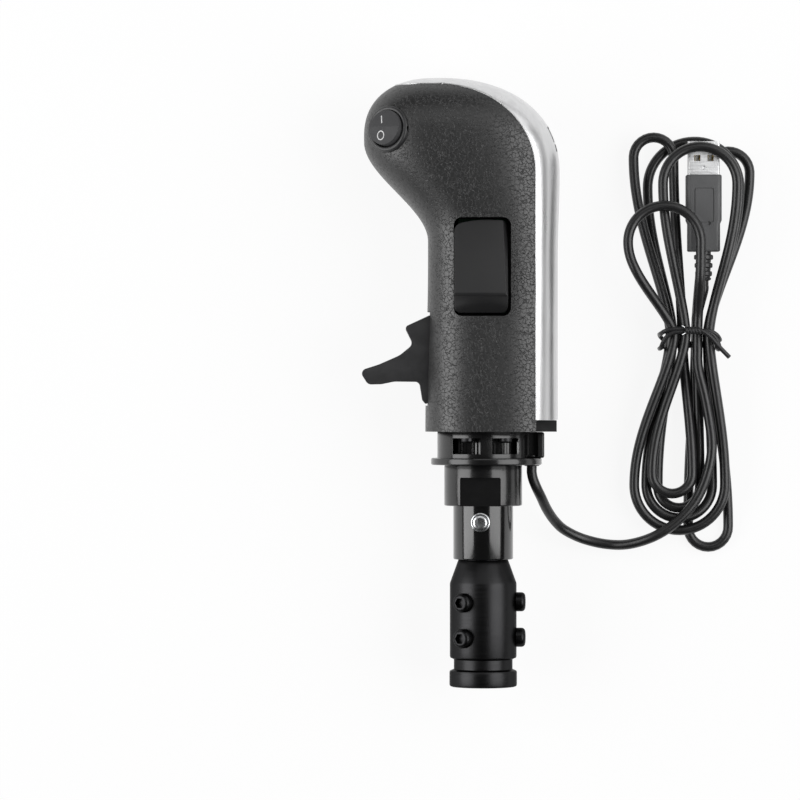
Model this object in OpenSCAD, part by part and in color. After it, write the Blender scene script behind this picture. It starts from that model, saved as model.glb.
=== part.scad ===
/* [Lever adapter] */
// Bore that takes the gear lever
lever_bore_d = 16; // [10:0.5:18]
// Depth of the lever bore
lever_bore_depth = 40; // [25:1:42]
// Outside diameter of the adapter sleeve
sleeve_d = 25; // [22:0.5:30]
// Height of the lip at the adapter's mouth
lip_h = 6.2; // [3:0.2:9]
// Height of the groove above the lip
groove_h = 4.4; // [2:0.2:6]
// Depth of the groove
groove_depth = 1.5; // [0.5:0.1:2]
// Height of the plain sleeve above the groove
sleeve_h = 28.8; // [24:0.2:40]
// Height of the taper at the top of the sleeve
taper_h = 8.1; // [4:0.1:12]
// Diameter of the narrow end of the taper
taper_d = 18.4; // [17.5:0.1:21]
// Length of the spigot that goes up into the tube
spigot_h = 19; // [12:0.5:20]
// Diameter of the spigot
spigot_d = 17; // [15:0.1:17.4]
// Clamp screws in a row round the sleeve
clamp_screws_per_row = 3; // [2:1:4]
// Height of the lower row above the groove
clamp_row_h = 7.9; // [5:0.1:10]
// Distance between the two rows
clamp_row_step = 13.3; // [9:0.1:16]
// Turn of the first screw from the upper side
clamp_turn = -35; // [-60:1:60]
// Thread diameter of a clamp screw
clamp_thread_d = 4; // [3:0.5:5]
// Head diameter of a clamp screw
clamp_head_d = 7.2; // [5.5:0.1:8]
// Height of a clamp screw's head
clamp_head_h = 3.3; // [2:0.1:4]

/* [Tube and collar] */
// Outside diameter of the tube
tube_d = 22.5; // [20:0.1:24]
// Length of tube that shows below the collar
tube_show = 20.1; // [14:0.1:26]
// Height of the tube's screw above the tube's end
tube_screw_h = 14.1; // [8:0.1:15]
// Turn of the tube's screw and the collar's recess from the upper side
recess_turn = -6; // [-20:1:20]
// Diameter of the collar
collar_d = 29.2; // [27:0.1:34]
// Height of the collar
collar_h = 15.3; // [12:0.1:20]
// Width of the flat recess in the collar
recess_w = 15.2; // [10:0.1:18]
// Height of the flat recess
recess_h = 10.7; // [6:0.1:11]

/* [Base] */
// Diameter of the flange
flange_d = 41.5; // [38:0.1:46]
// How far the flange sits to the rear of the lever's axis
flange_shift = 1.2; // [0:0.1:3]
// Thickness of the flange
flange_t = 2.6; // [1.8:0.1:4]
// Outside diameter of the cage
cage_d = 34.4; // [33:0.1:36]
// Wall of the cage
cage_wall = 4; // [3:0.1:4.6]
// Height of the cage
cage_h = 9.9; // [8.5:0.1:14]
// Width of a cage window
cage_window_w = 10.3; // [8:0.1:11]
// Width of the post between two windows
cage_post_w = 4.2; // [3:0.1:6]
// Height of the ring above the windows
cage_ring_h = 2.4; // [1.6:0.1:3]
// Height of the sill under the windows
cage_sill_h = 1.5; // [1:0.1:2]

/* [Grip] */
// Wall of the grip shell
shell_wall = 2.4; // [1.6:0.1:3]
// Front of the grip at its rim, from the lever's axis
front_rim = 21.7; // [21:0.1:24]
// Front of the grip at its waist
front_waist = 20.7; // [20:0.1:22]
// Front of the nose
nose_x = 44.7; // [40:0.1:50]
// Rear of the grip at its rim
rear_rim = 27.9; // [26:0.1:30]
// Rear of the head
rear_head = 28.6; // [26:0.1:32]
// Half of the grip's width at its rim
rim_half = 24; // [23:0.1:25]
// Half of the grip's width at its waist
waist_half = 21.5; // [20.5:0.1:23]
// Half of the head's width
head_half = 25; // [24:0.1:28]
// Height of the waist over the rim
waist_h = 65; // [55:1:70]
// Height where the neck starts to lean forward
neck_h = 71.4; // [68:0.1:76]
// Height of the nose's foremost point
nose_h = 110.4; // [106:0.1:114]
// Height of the widest part of the head
head_h = 110; // [102:0.5:112]
// Height where the rear starts to round over
round_h = 96.4; // [90:0.1:102]
// Height of the crown over the rim
crown_h = 132.4; // [128:0.1:138]
// Distance of the crown in front of the lever's axis
crown_x = 17.4; // [12:0.1:20]
// Squareness of the grip's section, 2 is an ellipse
grip_square = 2.7; // [2.2:0.1:3.2]

/* [Rear cover] */
// Wall of the rear cover
cover_wall = 1.8; // [1.2:0.1:2.6]
// Place of the seam to the rear of the lever's axis
seam_x = 19.2; // [17:0.1:21]
// Height of the cover's edge on the crown
seam_lip = 3; // [1.9:0.1:3.5]
// Gap along the seam
seam_gap = 0.15; // [0.05:0.05:0.4]
// Height of the cover's lower edge over the rim
cover_h0 = 4.4; // [4:0.1:8]
// Thread diameter of the cover's screws
cover_screw_d = 2.5; // [2:0.1:3]

/* [Side rocker] */
// Width of the rocker's window
window_w = 21.2; // [18:0.1:22]
// Height of the window
window_h = 37.2; // [34:0.1:40]
// Height of the window's lower edge over the rim
window_y = 43.2; // [42:0.1:46]
// Corner radius of the window
window_r = 3.7; // [2:0.1:5]
// Gap round the rocker cap
rocker_gap = 0.5; // [0.4:0.1:0.8]
// How far the lower end stands out of the shell
rocker_proud = 7; // [5:0.1:8]
// Depth of the lower facet along the grip
rocker_facet = 7.5; // [5:0.1:9]
// Travel of the rocker
rocker_travel = 8; // [4:0.5:9]
// Diameter of the rocker's pin
rocker_pin_d = 3; // [2:0.1:3.4]
// Depth of the pin under the shell's face
rocker_pin_depth = 6.5; // [6:0.1:7]

/* [Range lever] */
// Width of the lever
lever_w = 18; // [12:0.5:19]
// Reach of the finger in front of the lever's axis
finger_x = 43.2; // [38:0.1:46]
// Height of the finger's tip over the rim
finger_h = 22.4; // [20:0.1:24]
// Height of the lever's pin over the rim
lever_pin_h = 26.4; // [26:0.1:27]
// Distance of the lever's pin in front of the axis
lever_pin_x = 12; // [11:0.1:13]
// Diameter of the lever's pin
lever_pin_d = 4; // [3:0.1:5]
// Travel of the range lever
lever_travel = 14; // [8:0.5:15]
// Clearance of the slot over the lever
slot_gap = 0.6; // [0.4:0.1:1]

/* [Round rocker] */
// Diameter of the bezel
bezel_d = 17.4; // [17:0.1:20]
// Thickness of the bezel
bezel_t = 2; // [1.4:0.1:2.6]
// Diameter of the housing
housing_d = 15.4; // [15.2:0.1:16]
// Depth of the housing behind the bezel
housing_depth = 12; // [10:0.5:14]
// Diameter of the button
button_d = 13.2; // [12:0.1:13.5]
// Travel of the button
button_travel = 14; // [8:0.5:16]
// Place of the bezel in front of the lever's axis
round_x = 35.1; // [35:0.1:37]
// Height of the bezel over the rim
round_h0 = 112.2; // [112:0.1:115]
// Distance of the bezel's seat from the grip's middle plane
round_z = 17.9; // [17:0.1:18.2]
// Lean of the bezel toward the nose
round_lean = 34; // [32:0.5:38]
// Lean of the bezel toward the crown
round_tilt = 5; // [2:0.5:6]

/* [Cord and plug] */
// Diameter of the cord
cord_d = 3.8; // [3.4:0.1:4]
// Width of the plug's overmould
overmould_w = 13.4; // [12.6:0.1:14]
// Thickness of the overmould
overmould_t = 8; // [7:0.1:8.2]
// Length of the overmould
overmould_l = 29; // [24:0.5:30]
// Length of the strain relief
relief_l = 11; // [8:0.5:14]
// Width of the plug's shell
plug_w = 12; // [11.9:0.05:12.1]
// Thickness of the plug's shell
plug_t = 4.5; // [4.4:0.05:4.6]
// Length of the plug's shell in front of the overmould
plug_l = 12.6; // [11:0.1:14]
// Sheet of the plug's shell
plug_sheet = 0.3; // [0.25:0.05:0.4]

/* [Hidden] */
// How far a cut runs past the face it opens
past = 1;
// Gap between flat faces that meet without a fit
seat_gap = 0.2;
// Radial clearance of a turned part in its bore
bore_gap = 0.1;
// Radial clearance of a screw in its hole
thread_gap = 0.05;
// Radial clearance of a pin that turns
pin_gap = 0.05;
edge = 0.8;
lip_over = 0.15;

// Heights along the lever's axis
sleeve_y = lip_h + groove_h;
taper_y = sleeve_y + sleeve_h;
spigot_y = taper_y + taper_h;
tube_y = spigot_y + seat_gap;
collar_y = tube_y + tube_show;
flange_y = collar_y + collar_h;
cage_y = flange_y + flange_t;
rim_y = cage_y + cage_h;
tube_bore_d = spigot_d + 2 * bore_gap;
tube_top = rim_y - seat_gap;
wire_d = 13;
// The table that the part lies on
table_z = -head_half;

// Base pieces
cage_window_x = 0.85;
cage_mid_d = cage_d - cage_wall;
base_screw_d = 2.4;
base_screw_head_d = 4.8;
base_screw_head_h = 1.8;
base_screw_turns = [32, 148, 204, 336];
gland_w = 9;
gland_x = 18.2;
gland_wall = 4.6;
snout_d = 6;

// Core
foot_d = 38;
foot_t = 3.2;
foot_x = 1.5;
tab_w = 26;
cheek_gap = 1.2;
cheek_t = 2.8;
lug_wall = 1.2;
cheek_rise = 12;
spine_x = 9;
spine_t = 3;
spine_w = 22;
spine_h = 92;
cheek_z = lever_w / 2 + cheek_gap;
lever_pin_y = rim_y + lever_pin_h;
post_d = 6.8;
post_z = -4;
post_heights = [40, 84];
cover_head_d = 4.6;
cover_head_h = 1.6;
board_t = 1.6;
board_h0 = 5;
board_h = 31;
board_w = 19;
board_screw_d = 2;
board_screw_head_d = 3.8;
board_screw_head_h = 1.4;
board_screw_z = 6.5;
board_screw_h = 28;
shelf_z = 2.5;
shelf_t = 2.5;
shelf_front = 9.5;

// Side rocker
face_z = waist_half;
window_lo = rim_y + window_y;
window_hi = window_lo + window_h;
window_mid = (window_lo + window_hi) / 2;
rocker_end_gap = 0.3 + rocker_pin_depth * sin(rocker_travel);
rocker_top_gap = 0.8;
cap_lo = window_lo + rocker_end_gap;
cap_hi = window_hi - rocker_top_gap;
cap_w = window_w - 2 * rocker_gap;
cap_wall = 1.6;
cap_sunk = 1;
cap_skirt = 7.5;
cap_roof = 3;
ridge_y = window_lo + rocker_facet;
pin_z = face_z - rocker_pin_depth;
hub_w = 8;
lug_gap = 0.4;
lug_t = 2.4;
lug_d = rocker_pin_d + 3;
lug_x = hub_w / 2 + lug_gap;
rocker_pin_l = 2 * (lug_x + lug_t);
switch_z = shelf_z + shelf_t + board_t;
micro = [12, 6, 6.4];
plunger_d = 1.8;
plunger_h = 2.4;
micro_inset = 5;

// Range lever
root_h = [10.3, 43.2];
root_lo = rim_y + root_h[0];
root_hi = rim_y + root_h[1];
slot_lo = root_lo - slot_gap;
root_rise = (front_waist - shell_wall - lever_pin_x) * sin(lever_travel)
            - (root_hi - lever_pin_y) * (1 - cos(lever_travel));
slot_hi = root_hi + root_rise + slot_gap;
finger_r = 2.2;
// Corners of the lever's profile, each forward of the axis and below the root's upper end
shoulder = [29.1, 4.2];
notch = [26.7, 8.9];
// and above the root's lower end
heel = [33.9, 8.5];
throat = [23.4, 7.9];
ankle = [22.8, 1];
root_back = [16, 2];
root_x = [21.7, 20.4];
// Corners of the toe that presses the switch, from the pin
toe = [[8, -9], [10, -6]];
lever_hub_d = 13;
range_micro_y = rim_y + 6.4;

// Round rocker
button_gap = 0.35;
button_c = 0.4;
button_top = 3.6;
button_floor = 3.2;
trunnion_d = 1.8;
blade = [4.8, 0.8, 7];
blade_step = 7.6;

// Plug
plug_x = 83.6;
plug_y0 = 152.5;
plug_h = 11.3;
plug_z = table_z + plug_h;
overmould_y = plug_y0 + relief_l;
plug_y1 = overmould_y + overmould_l;
relief_d = 6;
tongue = [11, 11.4, 1.9];
tongue_drop = 0.9;
contact = [1, 8, 0.2];
contact_step = 2.5;

// Hank: the waist's place, the strands' pitch across and up, and the room under the tie
hank_x = 79;
hank_y = 132;
strand_pitch = 4.4;
strand_h = 2;
strand_z = table_z + strand_h;
tie_room = 2;
// Each strand at the waist: its place across in pitches, and its layer
strands = [[0.5, 2], [-1.5, 2], [1.5, 2], [-0.5, 2], [-0.75, 1], [-1.75, 1], [1.5, 0], [0.5, 0], [1.5, 1],
           [-1.5, 0], [0.5, 1]];
// Each half loop, upper and lower in turn: its reach, its first and second side, its rise over the waist,
// and the part of its run in which it changes layer
half_loops = [[48.5, 3, -24.4, 9.2, 0.5, 1], [74, -21.4, 13, -4.4, 0, 1], [71, 17, -11, 5, 0, 1],
              [60, -14.8, 0.4, 0, 0.5, 0.9], [75, -6.4, -21.6, 0, 0, 1], [69.4, -16.8, 8.4, 0, 0.47, 0.8],
              [70, 22.8, 6.4, 0, 0, 1], [80.5, -0.6, 14.6, 0, 0.5, 1], [73.6, 18.6, -16, 0, 0.445, 0.535],
              [65.5, -12.3, 3.5, 0, 0.25, 0.5]];
// Where the rise starts in an upper and a lower half loop, and the part of the loop that it takes
rise_starts = [0.03, 0];
rise_runs = [0.2, 0.5];
loop_rings = 48;
hank_ends = [strand_place(0), strand_place(len(strands) - 1)];
// Route of the lead from the gland to the hank, the last number is the height over the table
lead_route = [[gland_x, flange_y - 0.5, head_half], [gland_x, flange_y - 1.6, head_half],
              [gland_x, flange_y - 2.8, head_half], [18.7, 77.8, 24.8], [19.9, 74.8, 24], [21.7, 71.2, 21.4],
              [24.3, 66, 16.2], [27.6, 61.4, 11], [31.6, 57.9, 7.4], [38.6, 54.6, 4.3], [47.5, 52.6, 4],
              [56, 52.8, 7], [65.4, 56, 10.6], [74, 61.8, 11.2],
              [80.8, 69.6, 11], [85.2, 80, 11], [86.8, 91, 11], [84.6, 106, 12], [81.8, 117.6, 12.8],
              [81.2, 122.2, 12.8], [81.2, 125.2, 12.8], [81.2, 128.2, 12.8]];
// Route of the tail from the hank into the plug
tail_route = [[81.2, 135.8, 8.4], [81.2, 137.4, 8.4], [81.2, 139, 8.4], [82.4, 144, 9.8], [83.6, 149, 11.3],
              [83.6, 150.8, 11.3], [83.6, 152.5, 11.3]];
// Twist tie: half sizes of its loop round the bundle, its wraps and its wire
tie_half = [11.2, 7.65];
tie_square = 0.35;
tie_x = 78.5;
tie_h = 8.6;
tie_z = table_z + tie_h;
tie_d = 1.7;
tie_wraps = 2;
tie_steps = 24;
tie_rise = 10;
tie_tail = [[84, 129, 16.3], [89, 126, 16.3], [93, 123.5, 16.3]];

function smooth(t) = let (c = max(0, min(1, t))) c * c * (3 - 2 * c);
function unit(v) = v / norm(v);
function signed_pow(v, p) = sign(v) * pow(abs(v), p);
function on_table(route) = [for (q = route) [q.x, q.y, q.z + table_z]];

// Outline of the grip at height h over the rim, drawn in by inset
neck_top = nose_h - 2;
nose_power = 2.3;
rear_power = 2.25;
head_power = 2.4;
function flare(h) = 1 - smooth(h / waist_h);
function dome(h, h0, inset, power) =
    pow(max(0, 1 - pow(max(0, h - h0) / (crown_h - h0 - inset), power)), 1 / power);
function grip_front(h, inset) = h < nose_h
    ? inset - front_waist - (front_rim - front_waist) * flare(h)
      - (nose_x - front_waist) * smooth((h - neck_h) / (neck_top - neck_h))
    : -crown_x - (nose_x - crown_x - inset) * dome(h, nose_h, inset, nose_power);
function grip_rear(h, inset) = h < round_h
    ? rear_rim + (rear_head - rear_rim) * smooth((h - waist_h) / (round_h - waist_h)) - inset
    : -crown_x + (rear_head + crown_x - inset) * dome(h, round_h, inset, rear_power);
function grip_half(h, inset) = h < head_h
    ? waist_half + (rim_half - waist_half) * flare(h)
      + (head_half - waist_half) * smooth((h - neck_h) / (head_h - neck_h)) - inset
    : (head_half - inset) * dome(h, head_h, inset, head_power);
function grip_levels(inset) = concat(
    [inset > 0 ? -past : 0],
    [for (k = [1:7]) neck_h * k / 7],
    [for (k = [1:8]) neck_h + (nose_h - neck_h) * k / 8],
    [for (k = [1:8]) nose_h + (crown_h - inset - nose_h) * sin(k * 11)]);
grip_sides = 40;
function grip_ring(h, inset) =
    let (front = grip_front(h, inset), rear = grip_rear(h, inset), half = grip_half(h, inset))
    [for (k = [0:grip_sides - 1]) let (a = 360 * k / grip_sides)
        [(front + rear) / 2 + (rear - front) / 2 * signed_pow(cos(a), 2 / grip_square), rim_y + h,
         -half * signed_pow(sin(a), 2 / grip_square)]];
// The seam's outline in the lever's plane, moved to the rear by shift
seam_steps = 12;
function seam_line(shift) = [for (k = [0:seam_steps])
    let (a = 90 * k / seam_steps)
    [-crown_x + (seam_x + crown_x + shift) * cos(a),
     rim_y + round_h + (crown_h - round_h - seam_lip + shift) * sin(a)]];

// Rings of equal length joined into a closed tube of triangles
function ring_faces(rings, sides) = concat(
    [for (r = [0:rings - 2], k = [0:sides - 1]) let (n = (k + 1) % sides)
        [r * sides + k, (r + 1) * sides + k, (r + 1) * sides + n]],
    [for (r = [0:rings - 2], k = [0:sides - 1]) let (n = (k + 1) % sides)
        [r * sides + k, (r + 1) * sides + n, r * sides + n]],
    [for (k = [1:sides - 2]) [0, k, k + 1]],
    [for (k = [1:sides - 2]) let (b = (rings - 1) * sides) [b, b + k + 1, b + k]]);
module ringed(rings) {
    polyhedron([for (ring = rings, q = ring) q], ring_faces(len(rings), len(rings[0])));
}

// Smooth curve through a route's points
function spline(p0, p1, p2, p3, t) =
    ((2 * p1) + (p2 - p0) * t + (2 * p0 - 5 * p1 + 4 * p2 - p3) * t * t
     + (3 * p1 - p0 - 3 * p2 + p3) * t * t * t) / 2;
function through(pts, steps) = let (n = len(pts) - 1) concat(
    [for (i = [0:n - 1], k = [0:steps - 1])
        spline(i == 0 ? 2 * pts[0] - pts[1] : pts[i - 1], pts[i], pts[i + 1],
               i == n - 1 ? 2 * pts[n] - pts[n - 1] : pts[i + 2], k / steps)],
    [pts[n]]);
function tube_rings(path, d, sides) = let (n = len(path) - 1) [for (i = [0:n])
    let (t = unit(path[min(i + 1, n)] - path[max(i - 1, 0)]), s = unit(cross(t, [0, 0, 1])), u = cross(s, t))
    [for (k = [0:sides - 1]) path[i] + d / 2 * (cos(360 * k / sides) * s - sin(360 * k / sides) * u)]];

// Loops of the hank: runs that part from the waist, and a round fold
function strand_place(j) =
    [hank_x + strands[j][0] * strand_pitch, hank_y, strand_z + strands[j][1] * strand_pitch + tie_room];
function parted(t) = pow(sin(90 * min(1, t)), 1.5);
function half_loop(h, u) = let (
    lobe = half_loops[h],
    fold = (lobe[1] - lobe[2]) / 2,
    run = lobe[0] - abs(fold),
    run_part = run / (2 * run + PI * abs(fold)),
    t = min(u, 1 - u) / run_part,
    turn = 180 * (u - run_part) / (1 - 2 * run_part),
    foot = strands[u < 0.5 ? h : h + 1][0] * strand_pitch,
    side = u < 0.5 ? lobe[1] : lobe[2],
    across = t < 1 ? foot + (side - foot) * parted(t) : (lobe[1] + lobe[2]) / 2 + fold * cos(turn),
    along = t < 1 ? run * t : run + abs(fold) * sin(turn),
    layer = strands[h][1] + (strands[h + 1][1] - strands[h][1]) * smooth((u - lobe[4]) / (lobe[5] - lobe[4])),
    rise = lobe[3] * smooth((min(u, 1 - u) - rise_starts[h % 2]) / rise_runs[h % 2]))
    [hank_x + across, hank_y + (h % 2 == 0 ? along : -along),
     strand_z + layer * strand_pitch + rise + tie_room * pow(cos(180 * u), 8)];
// Rings lie closer together toward the end of a loop
function eased(t) = t + sin(360 * t) / (4 * PI);
function hank_path(rings) = concat(
    [hank_ends[0] - [0, cord_d, 0]],
    [for (h = [0:len(half_loops) - 1], k = [0:rings / 2 - 1]) half_loop(h, eased(k / (rings / 2)))],
    [hank_ends[1], hank_ends[1] + [0, cord_d, 0]]);
// Loop of the tie at a turn, and its run down to the tail
function tie_point(a) = [tie_x + tie_half.x * signed_pow(sin(a), tie_square),
    hank_y + tie_rise / 2 - tie_rise * a / (360 * tie_wraps),
    tie_z + tie_half.y * signed_pow(cos(a), tie_square)];

// Local z runs along the lever's axis from height y
module along_lever(y = 0) {
    translate([0, y, 0]) rotate([-90, 0, 0]) children();
}
// Local z runs out of the axis at height y, turned from the upper side
module out_of_axis(y, turn) {
    translate([0, y, 0]) rotate([0, turn, 0]) children();
}
// A profile in the lever's plane, drawn in y and z and carried across x
module across(w) {
    rotate([90, 0, 90]) linear_extrude(w, center = true) children();
}
module ring(d, bore, h) {
    difference() {
        cylinder(d = d, h = h, $fn = 96);
        translate([0, 0, -past]) cylinder(d = bore, h = h + 2 * past, $fn = 96);
    }
}
module rounded_rect(w, h, r) {
    square([w - 2 * r, h], center = true);
    square([w, h - 2 * r], center = true);
    for (x = [-1, 1], y = [-1, 1]) translate([x * (w / 2 - r), y * (h / 2 - r)]) circle(r, $fn = 48);
}
// A screw whose head sits at z = 0 and whose shank goes down
module screw(head_d, head_h, shank_d, shank_l, key) {
    difference() {
        union() {
            cylinder(d = head_d, h = head_h, $fn = 48);
            translate([0, 0, -shank_l]) cylinder(d = shank_d, h = shank_l + head_h / 2, $fn = 32);
        }
        translate([0, 0, head_h / 2]) cylinder(d = key, h = head_h, $fn = 6);
    }
}

// The adapter that is clamped on a gear lever
module clamp_places() {
    for (row = [0, 1], i = [0:clamp_screws_per_row - 1])
        out_of_axis(sleeve_y + clamp_row_h + row * clamp_row_step,
                    clamp_turn + 360 * i / clamp_screws_per_row) children();
}
module adapter_sleeve() {
    r = sleeve_d / 2;
    lip = r + lip_over;
    color("#1b1c1f") difference() {
        along_lever() rotate_extrude($fn = 96) polygon([
            [0, 0], [lip - edge, 0], [lip, edge], [lip, lip_h - edge], [lip - edge, lip_h],
            [r - groove_depth, lip_h], [r - groove_depth, sleeve_y], [r - edge, sleeve_y],
            [r, sleeve_y + edge], [r, taper_y], [taper_d / 2, spigot_y], [spigot_d / 2, spigot_y],
            [spigot_d / 2, spigot_y + spigot_h], [0, spigot_y + spigot_h]]);
        along_lever(-past) cylinder(d = lever_bore_d, h = lever_bore_depth + past, $fn = 96);
        clamp_places() cylinder(d = clamp_thread_d + 2 * thread_gap, h = sleeve_d, $fn = 32);
    }
}
clamp_tip_gap = 0.3;
module adapter_screws() {
    color("#0e0e10") clamp_places() translate([0, 0, sleeve_d / 2])
        screw(clamp_head_d, clamp_head_h, clamp_thread_d, (sleeve_d - lever_bore_d) / 2 - clamp_tip_gap,
              clamp_head_d / 2);
}

// The tube that takes the adapter's spigot
module socket_tube() {
    color("#121214") difference() {
        along_lever(tube_y) cylinder(d = tube_d, h = tube_top - tube_y, $fn = 96);
        along_lever(tube_y - past) cylinder(d = tube_bore_d, h = spigot_h + 2 * past, $fn = 96);
        along_lever(tube_y) cylinder(d = wire_d, h = tube_top - tube_y + past, $fn = 64);
        out_of_axis(tube_y + tube_screw_h, recess_turn)
            cylinder(d = clamp_thread_d + 2 * thread_gap, h = tube_d, $fn = 32);
    }
}
module tube_screw() {
    color("#c9ccd1") out_of_axis(tube_y + tube_screw_h, recess_turn) translate([0, 0, tube_d / 2])
        screw(clamp_head_d, clamp_head_h, clamp_thread_d, (tube_d - tube_bore_d) / 2, clamp_head_d / 2);
}
recess_floor = 0.9;
module locking_collar() {
    color("#131315") difference() {
        along_lever(collar_y) ring(collar_d, tube_d + 2 * bore_gap, collar_h);
        out_of_axis(collar_y, recess_turn) translate([-recess_w / 2, -past, tube_d / 2 + recess_floor])
            cube([recess_w, recess_h + past, collar_d]);
    }
}

// The base that carries the grip
module base_screw_places() {
    for (turn = base_screw_turns)
        translate([cage_mid_d / 2 * sin(turn), rim_y - cage_ring_h, cage_mid_d / 2 * cos(turn)])
            rotate([90, 0, 0]) children();
}
module base_flange() {
    window_y0 = cage_y + cage_sill_h;
    window_y1 = rim_y - cage_ring_h;
    color("#101012") difference() {
        union() {
            along_lever(flange_y) translate([flange_shift, 0, 0])
                cylinder(d = flange_d, h = flange_t, $fn = 96);
            along_lever(cage_y) ring(cage_d, cage_d - 2 * cage_wall, cage_h);
        }
        along_lever(flange_y - past) cylinder(d = tube_d + 2 * bore_gap, h = flange_t + 2 * past, $fn = 96);
        for (side = [-1, 1])
            translate([cage_window_x + side * (cage_post_w + cage_window_w) / 2,
                       (window_y0 + window_y1) / 2, 0])
                cube([cage_window_w, window_y1 - window_y0, 2 * cage_d], center = true);
        translate([gland_x, 0, 0]) along_lever(flange_y - past)
            cylinder(d = snout_d + 2 * bore_gap, h = flange_t + 2 * past, $fn = 48);
        base_screw_places() translate([0, 0, -cage_h])
            cylinder(d = base_screw_d + 2 * thread_gap, h = 2 * cage_h, $fn = 32);
    }
}
module base_screws() {
    color("#8d9096") base_screw_places()
        screw(base_screw_head_d, base_screw_head_h, base_screw_d, cage_ring_h + foot_t - past, base_screw_d);
}
module cord_gland() {
    color("#2a2a2d") difference() {
        union() {
            translate([gland_x - gland_wall, cage_y, -gland_w / 2])
                cube([2 * gland_wall, cage_h - seat_gap, gland_w]);
            translate([gland_x, 0, 0]) along_lever(lead_route[0].y)
                cylinder(d = snout_d, h = cage_y - lead_route[0].y + past, $fn = 48);
        }
        along_lever(cage_y - seat_gap) cylinder(d = cage_d + 2 * seat_gap, h = cage_h + past, $fn = 96);
    }
}

// The frame inside the grip
module post_places() {
    for (h = post_heights)
        translate([spine_x + spine_t, rim_y + h, post_z]) rotate([0, 90, 0]) children();
}
module board_screw_places() {
    for (side = [-1, 1])
        translate([spine_x - board_t, rim_y + board_screw_h, side * board_screw_z])
            rotate([0, -90, 0]) children();
}
module rocker_lugs() {
    for (side = [-1, 1])
        translate([side * (lug_x + lug_t / 2), window_mid, 0]) union() {
            translate([0, 0, (shelf_z + pin_z) / 2]) cube([lug_t, lug_d, pin_z - shelf_z], center = true);
            translate([0, 0, pin_z]) rotate([0, 90, 0])
                cylinder(d = lug_d, h = lug_t, center = true, $fn = 48);
        }
}
module lever_cheeks() {
    front = lever_pin_x + lever_pin_d / 2 + lug_wall;
    for (side = [-1, 1])
        translate([-front, rim_y + foot_t / 2, side * (cheek_z + cheek_t / 2) - cheek_t / 2])
            cube([front + spine_x + spine_t, lever_pin_h + cheek_rise - foot_t / 2, cheek_t]);
}
module grip_core() {
    color("#3a3b3e") difference() {
        union() {
            translate([foot_x, 0, 0]) along_lever(rim_y) cylinder(d = foot_d, h = foot_t, $fn = 96);
            translate([foot_x, rim_y, -tab_w / 2])
                cube([rear_rim - foot_x - edge, cover_h0 - seat_gap, tab_w]);
            translate([spine_x, rim_y + foot_t / 2, -spine_w / 2]) cube([spine_t, spine_h, spine_w]);
            translate([-shelf_front, window_lo, shelf_z])
                cube([shelf_front + spine_x + spine_t / 2, window_h, shelf_t]);
            lever_cheeks();
            rocker_lugs();
        }
        along_lever(rim_y - past) cylinder(d = wire_d, h = cover_h0 + 2 * past, $fn = 64);
        translate([-lever_pin_x, lever_pin_y, 0])
            cylinder(d = lever_pin_d, h = 4 * cheek_z, center = true, $fn = 48);
        translate([0, window_mid, pin_z]) rotate([0, 90, 0])
            cylinder(d = rocker_pin_d, h = 2 * rocker_pin_l, center = true, $fn = 48);
        post_places() cylinder(d = cover_screw_d + 2 * thread_gap, h = 4 * spine_t, center = true, $fn = 32);
        board_screw_places()
            cylinder(d = board_screw_d + 2 * thread_gap, h = 4 * spine_t, center = true, $fn = 32);
        base_screw_places() translate([0, 0, -2 * cage_ring_h - foot_t])
            cylinder(d = base_screw_d + 2 * thread_gap, h = cage_h, $fn = 32);
    }
}

// The grip's outer shells
module grip_solid(inset) {
    ringed([for (h = grip_levels(inset)) grip_ring(h, inset)]);
}
// What lies in front of the seam, moved to the rear by shift
module before_seam(shift) {
    far = 2 * nose_x;
    linear_extrude(4 * head_half, center = true) polygon(concat(
        [[-far, rim_y - 2 * past], [seam_x + shift, rim_y - 2 * past]], seam_line(shift),
        [[-far, rim_y + crown_h - seam_lip + shift]]));
}
module round_place() {
    translate([-round_x, rim_y + round_h0, round_z]) rotate([-round_tilt, -round_lean, 0]) children();
}
module grip_shell() {
    color("#3c3d40") difference() {
        intersection() {
            grip_solid(0);
            before_seam(0);
        }
        grip_solid(shell_wall);
        translate([0, window_mid, 0]) linear_extrude(2 * head_half)
            rounded_rect(window_w, window_h, window_r);
        translate([-2 * nose_x - lever_pin_x, slot_lo, -lever_w / 2 - slot_gap])
            cube([2 * nose_x, slot_hi - slot_lo, lever_w + 2 * slot_gap]);
        round_place() translate([0, 0, -housing_depth])
            cylinder(d = housing_d + 2 * bore_gap, h = 2 * housing_depth, $fn = 64);
        round_place() translate([0, 0, -bore_gap])
            cylinder(d = bezel_d + 2 * bore_gap, h = housing_depth, $fn = 64);
    }
}
module rear_cover() {
    color("#d3d6da") difference() {
        union() {
            difference() {
                grip_solid(0);
                grip_solid(cover_wall);
                before_seam(seam_gap);
                translate([-nose_x, rim_y - past, -2 * head_half])
                    cube([4 * nose_x, cover_h0 + past, 4 * head_half]);
            }
            post_places() cylinder(d = post_d, h = rear_rim - cover_wall / 2 - spine_x - spine_t, $fn = 48);
        }
        post_places() translate([0, 0, -past])
            cylinder(d = cover_screw_d + 2 * thread_gap, h = post_d + past, $fn = 32);
    }
}
module cover_screws() {
    color("#8d9096") post_places() translate([0, 0, -spine_t]) mirror([0, 0, 1])
        screw(cover_head_d, cover_head_h, cover_screw_d, spine_t + post_d - past, cover_screw_d);
}

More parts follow.
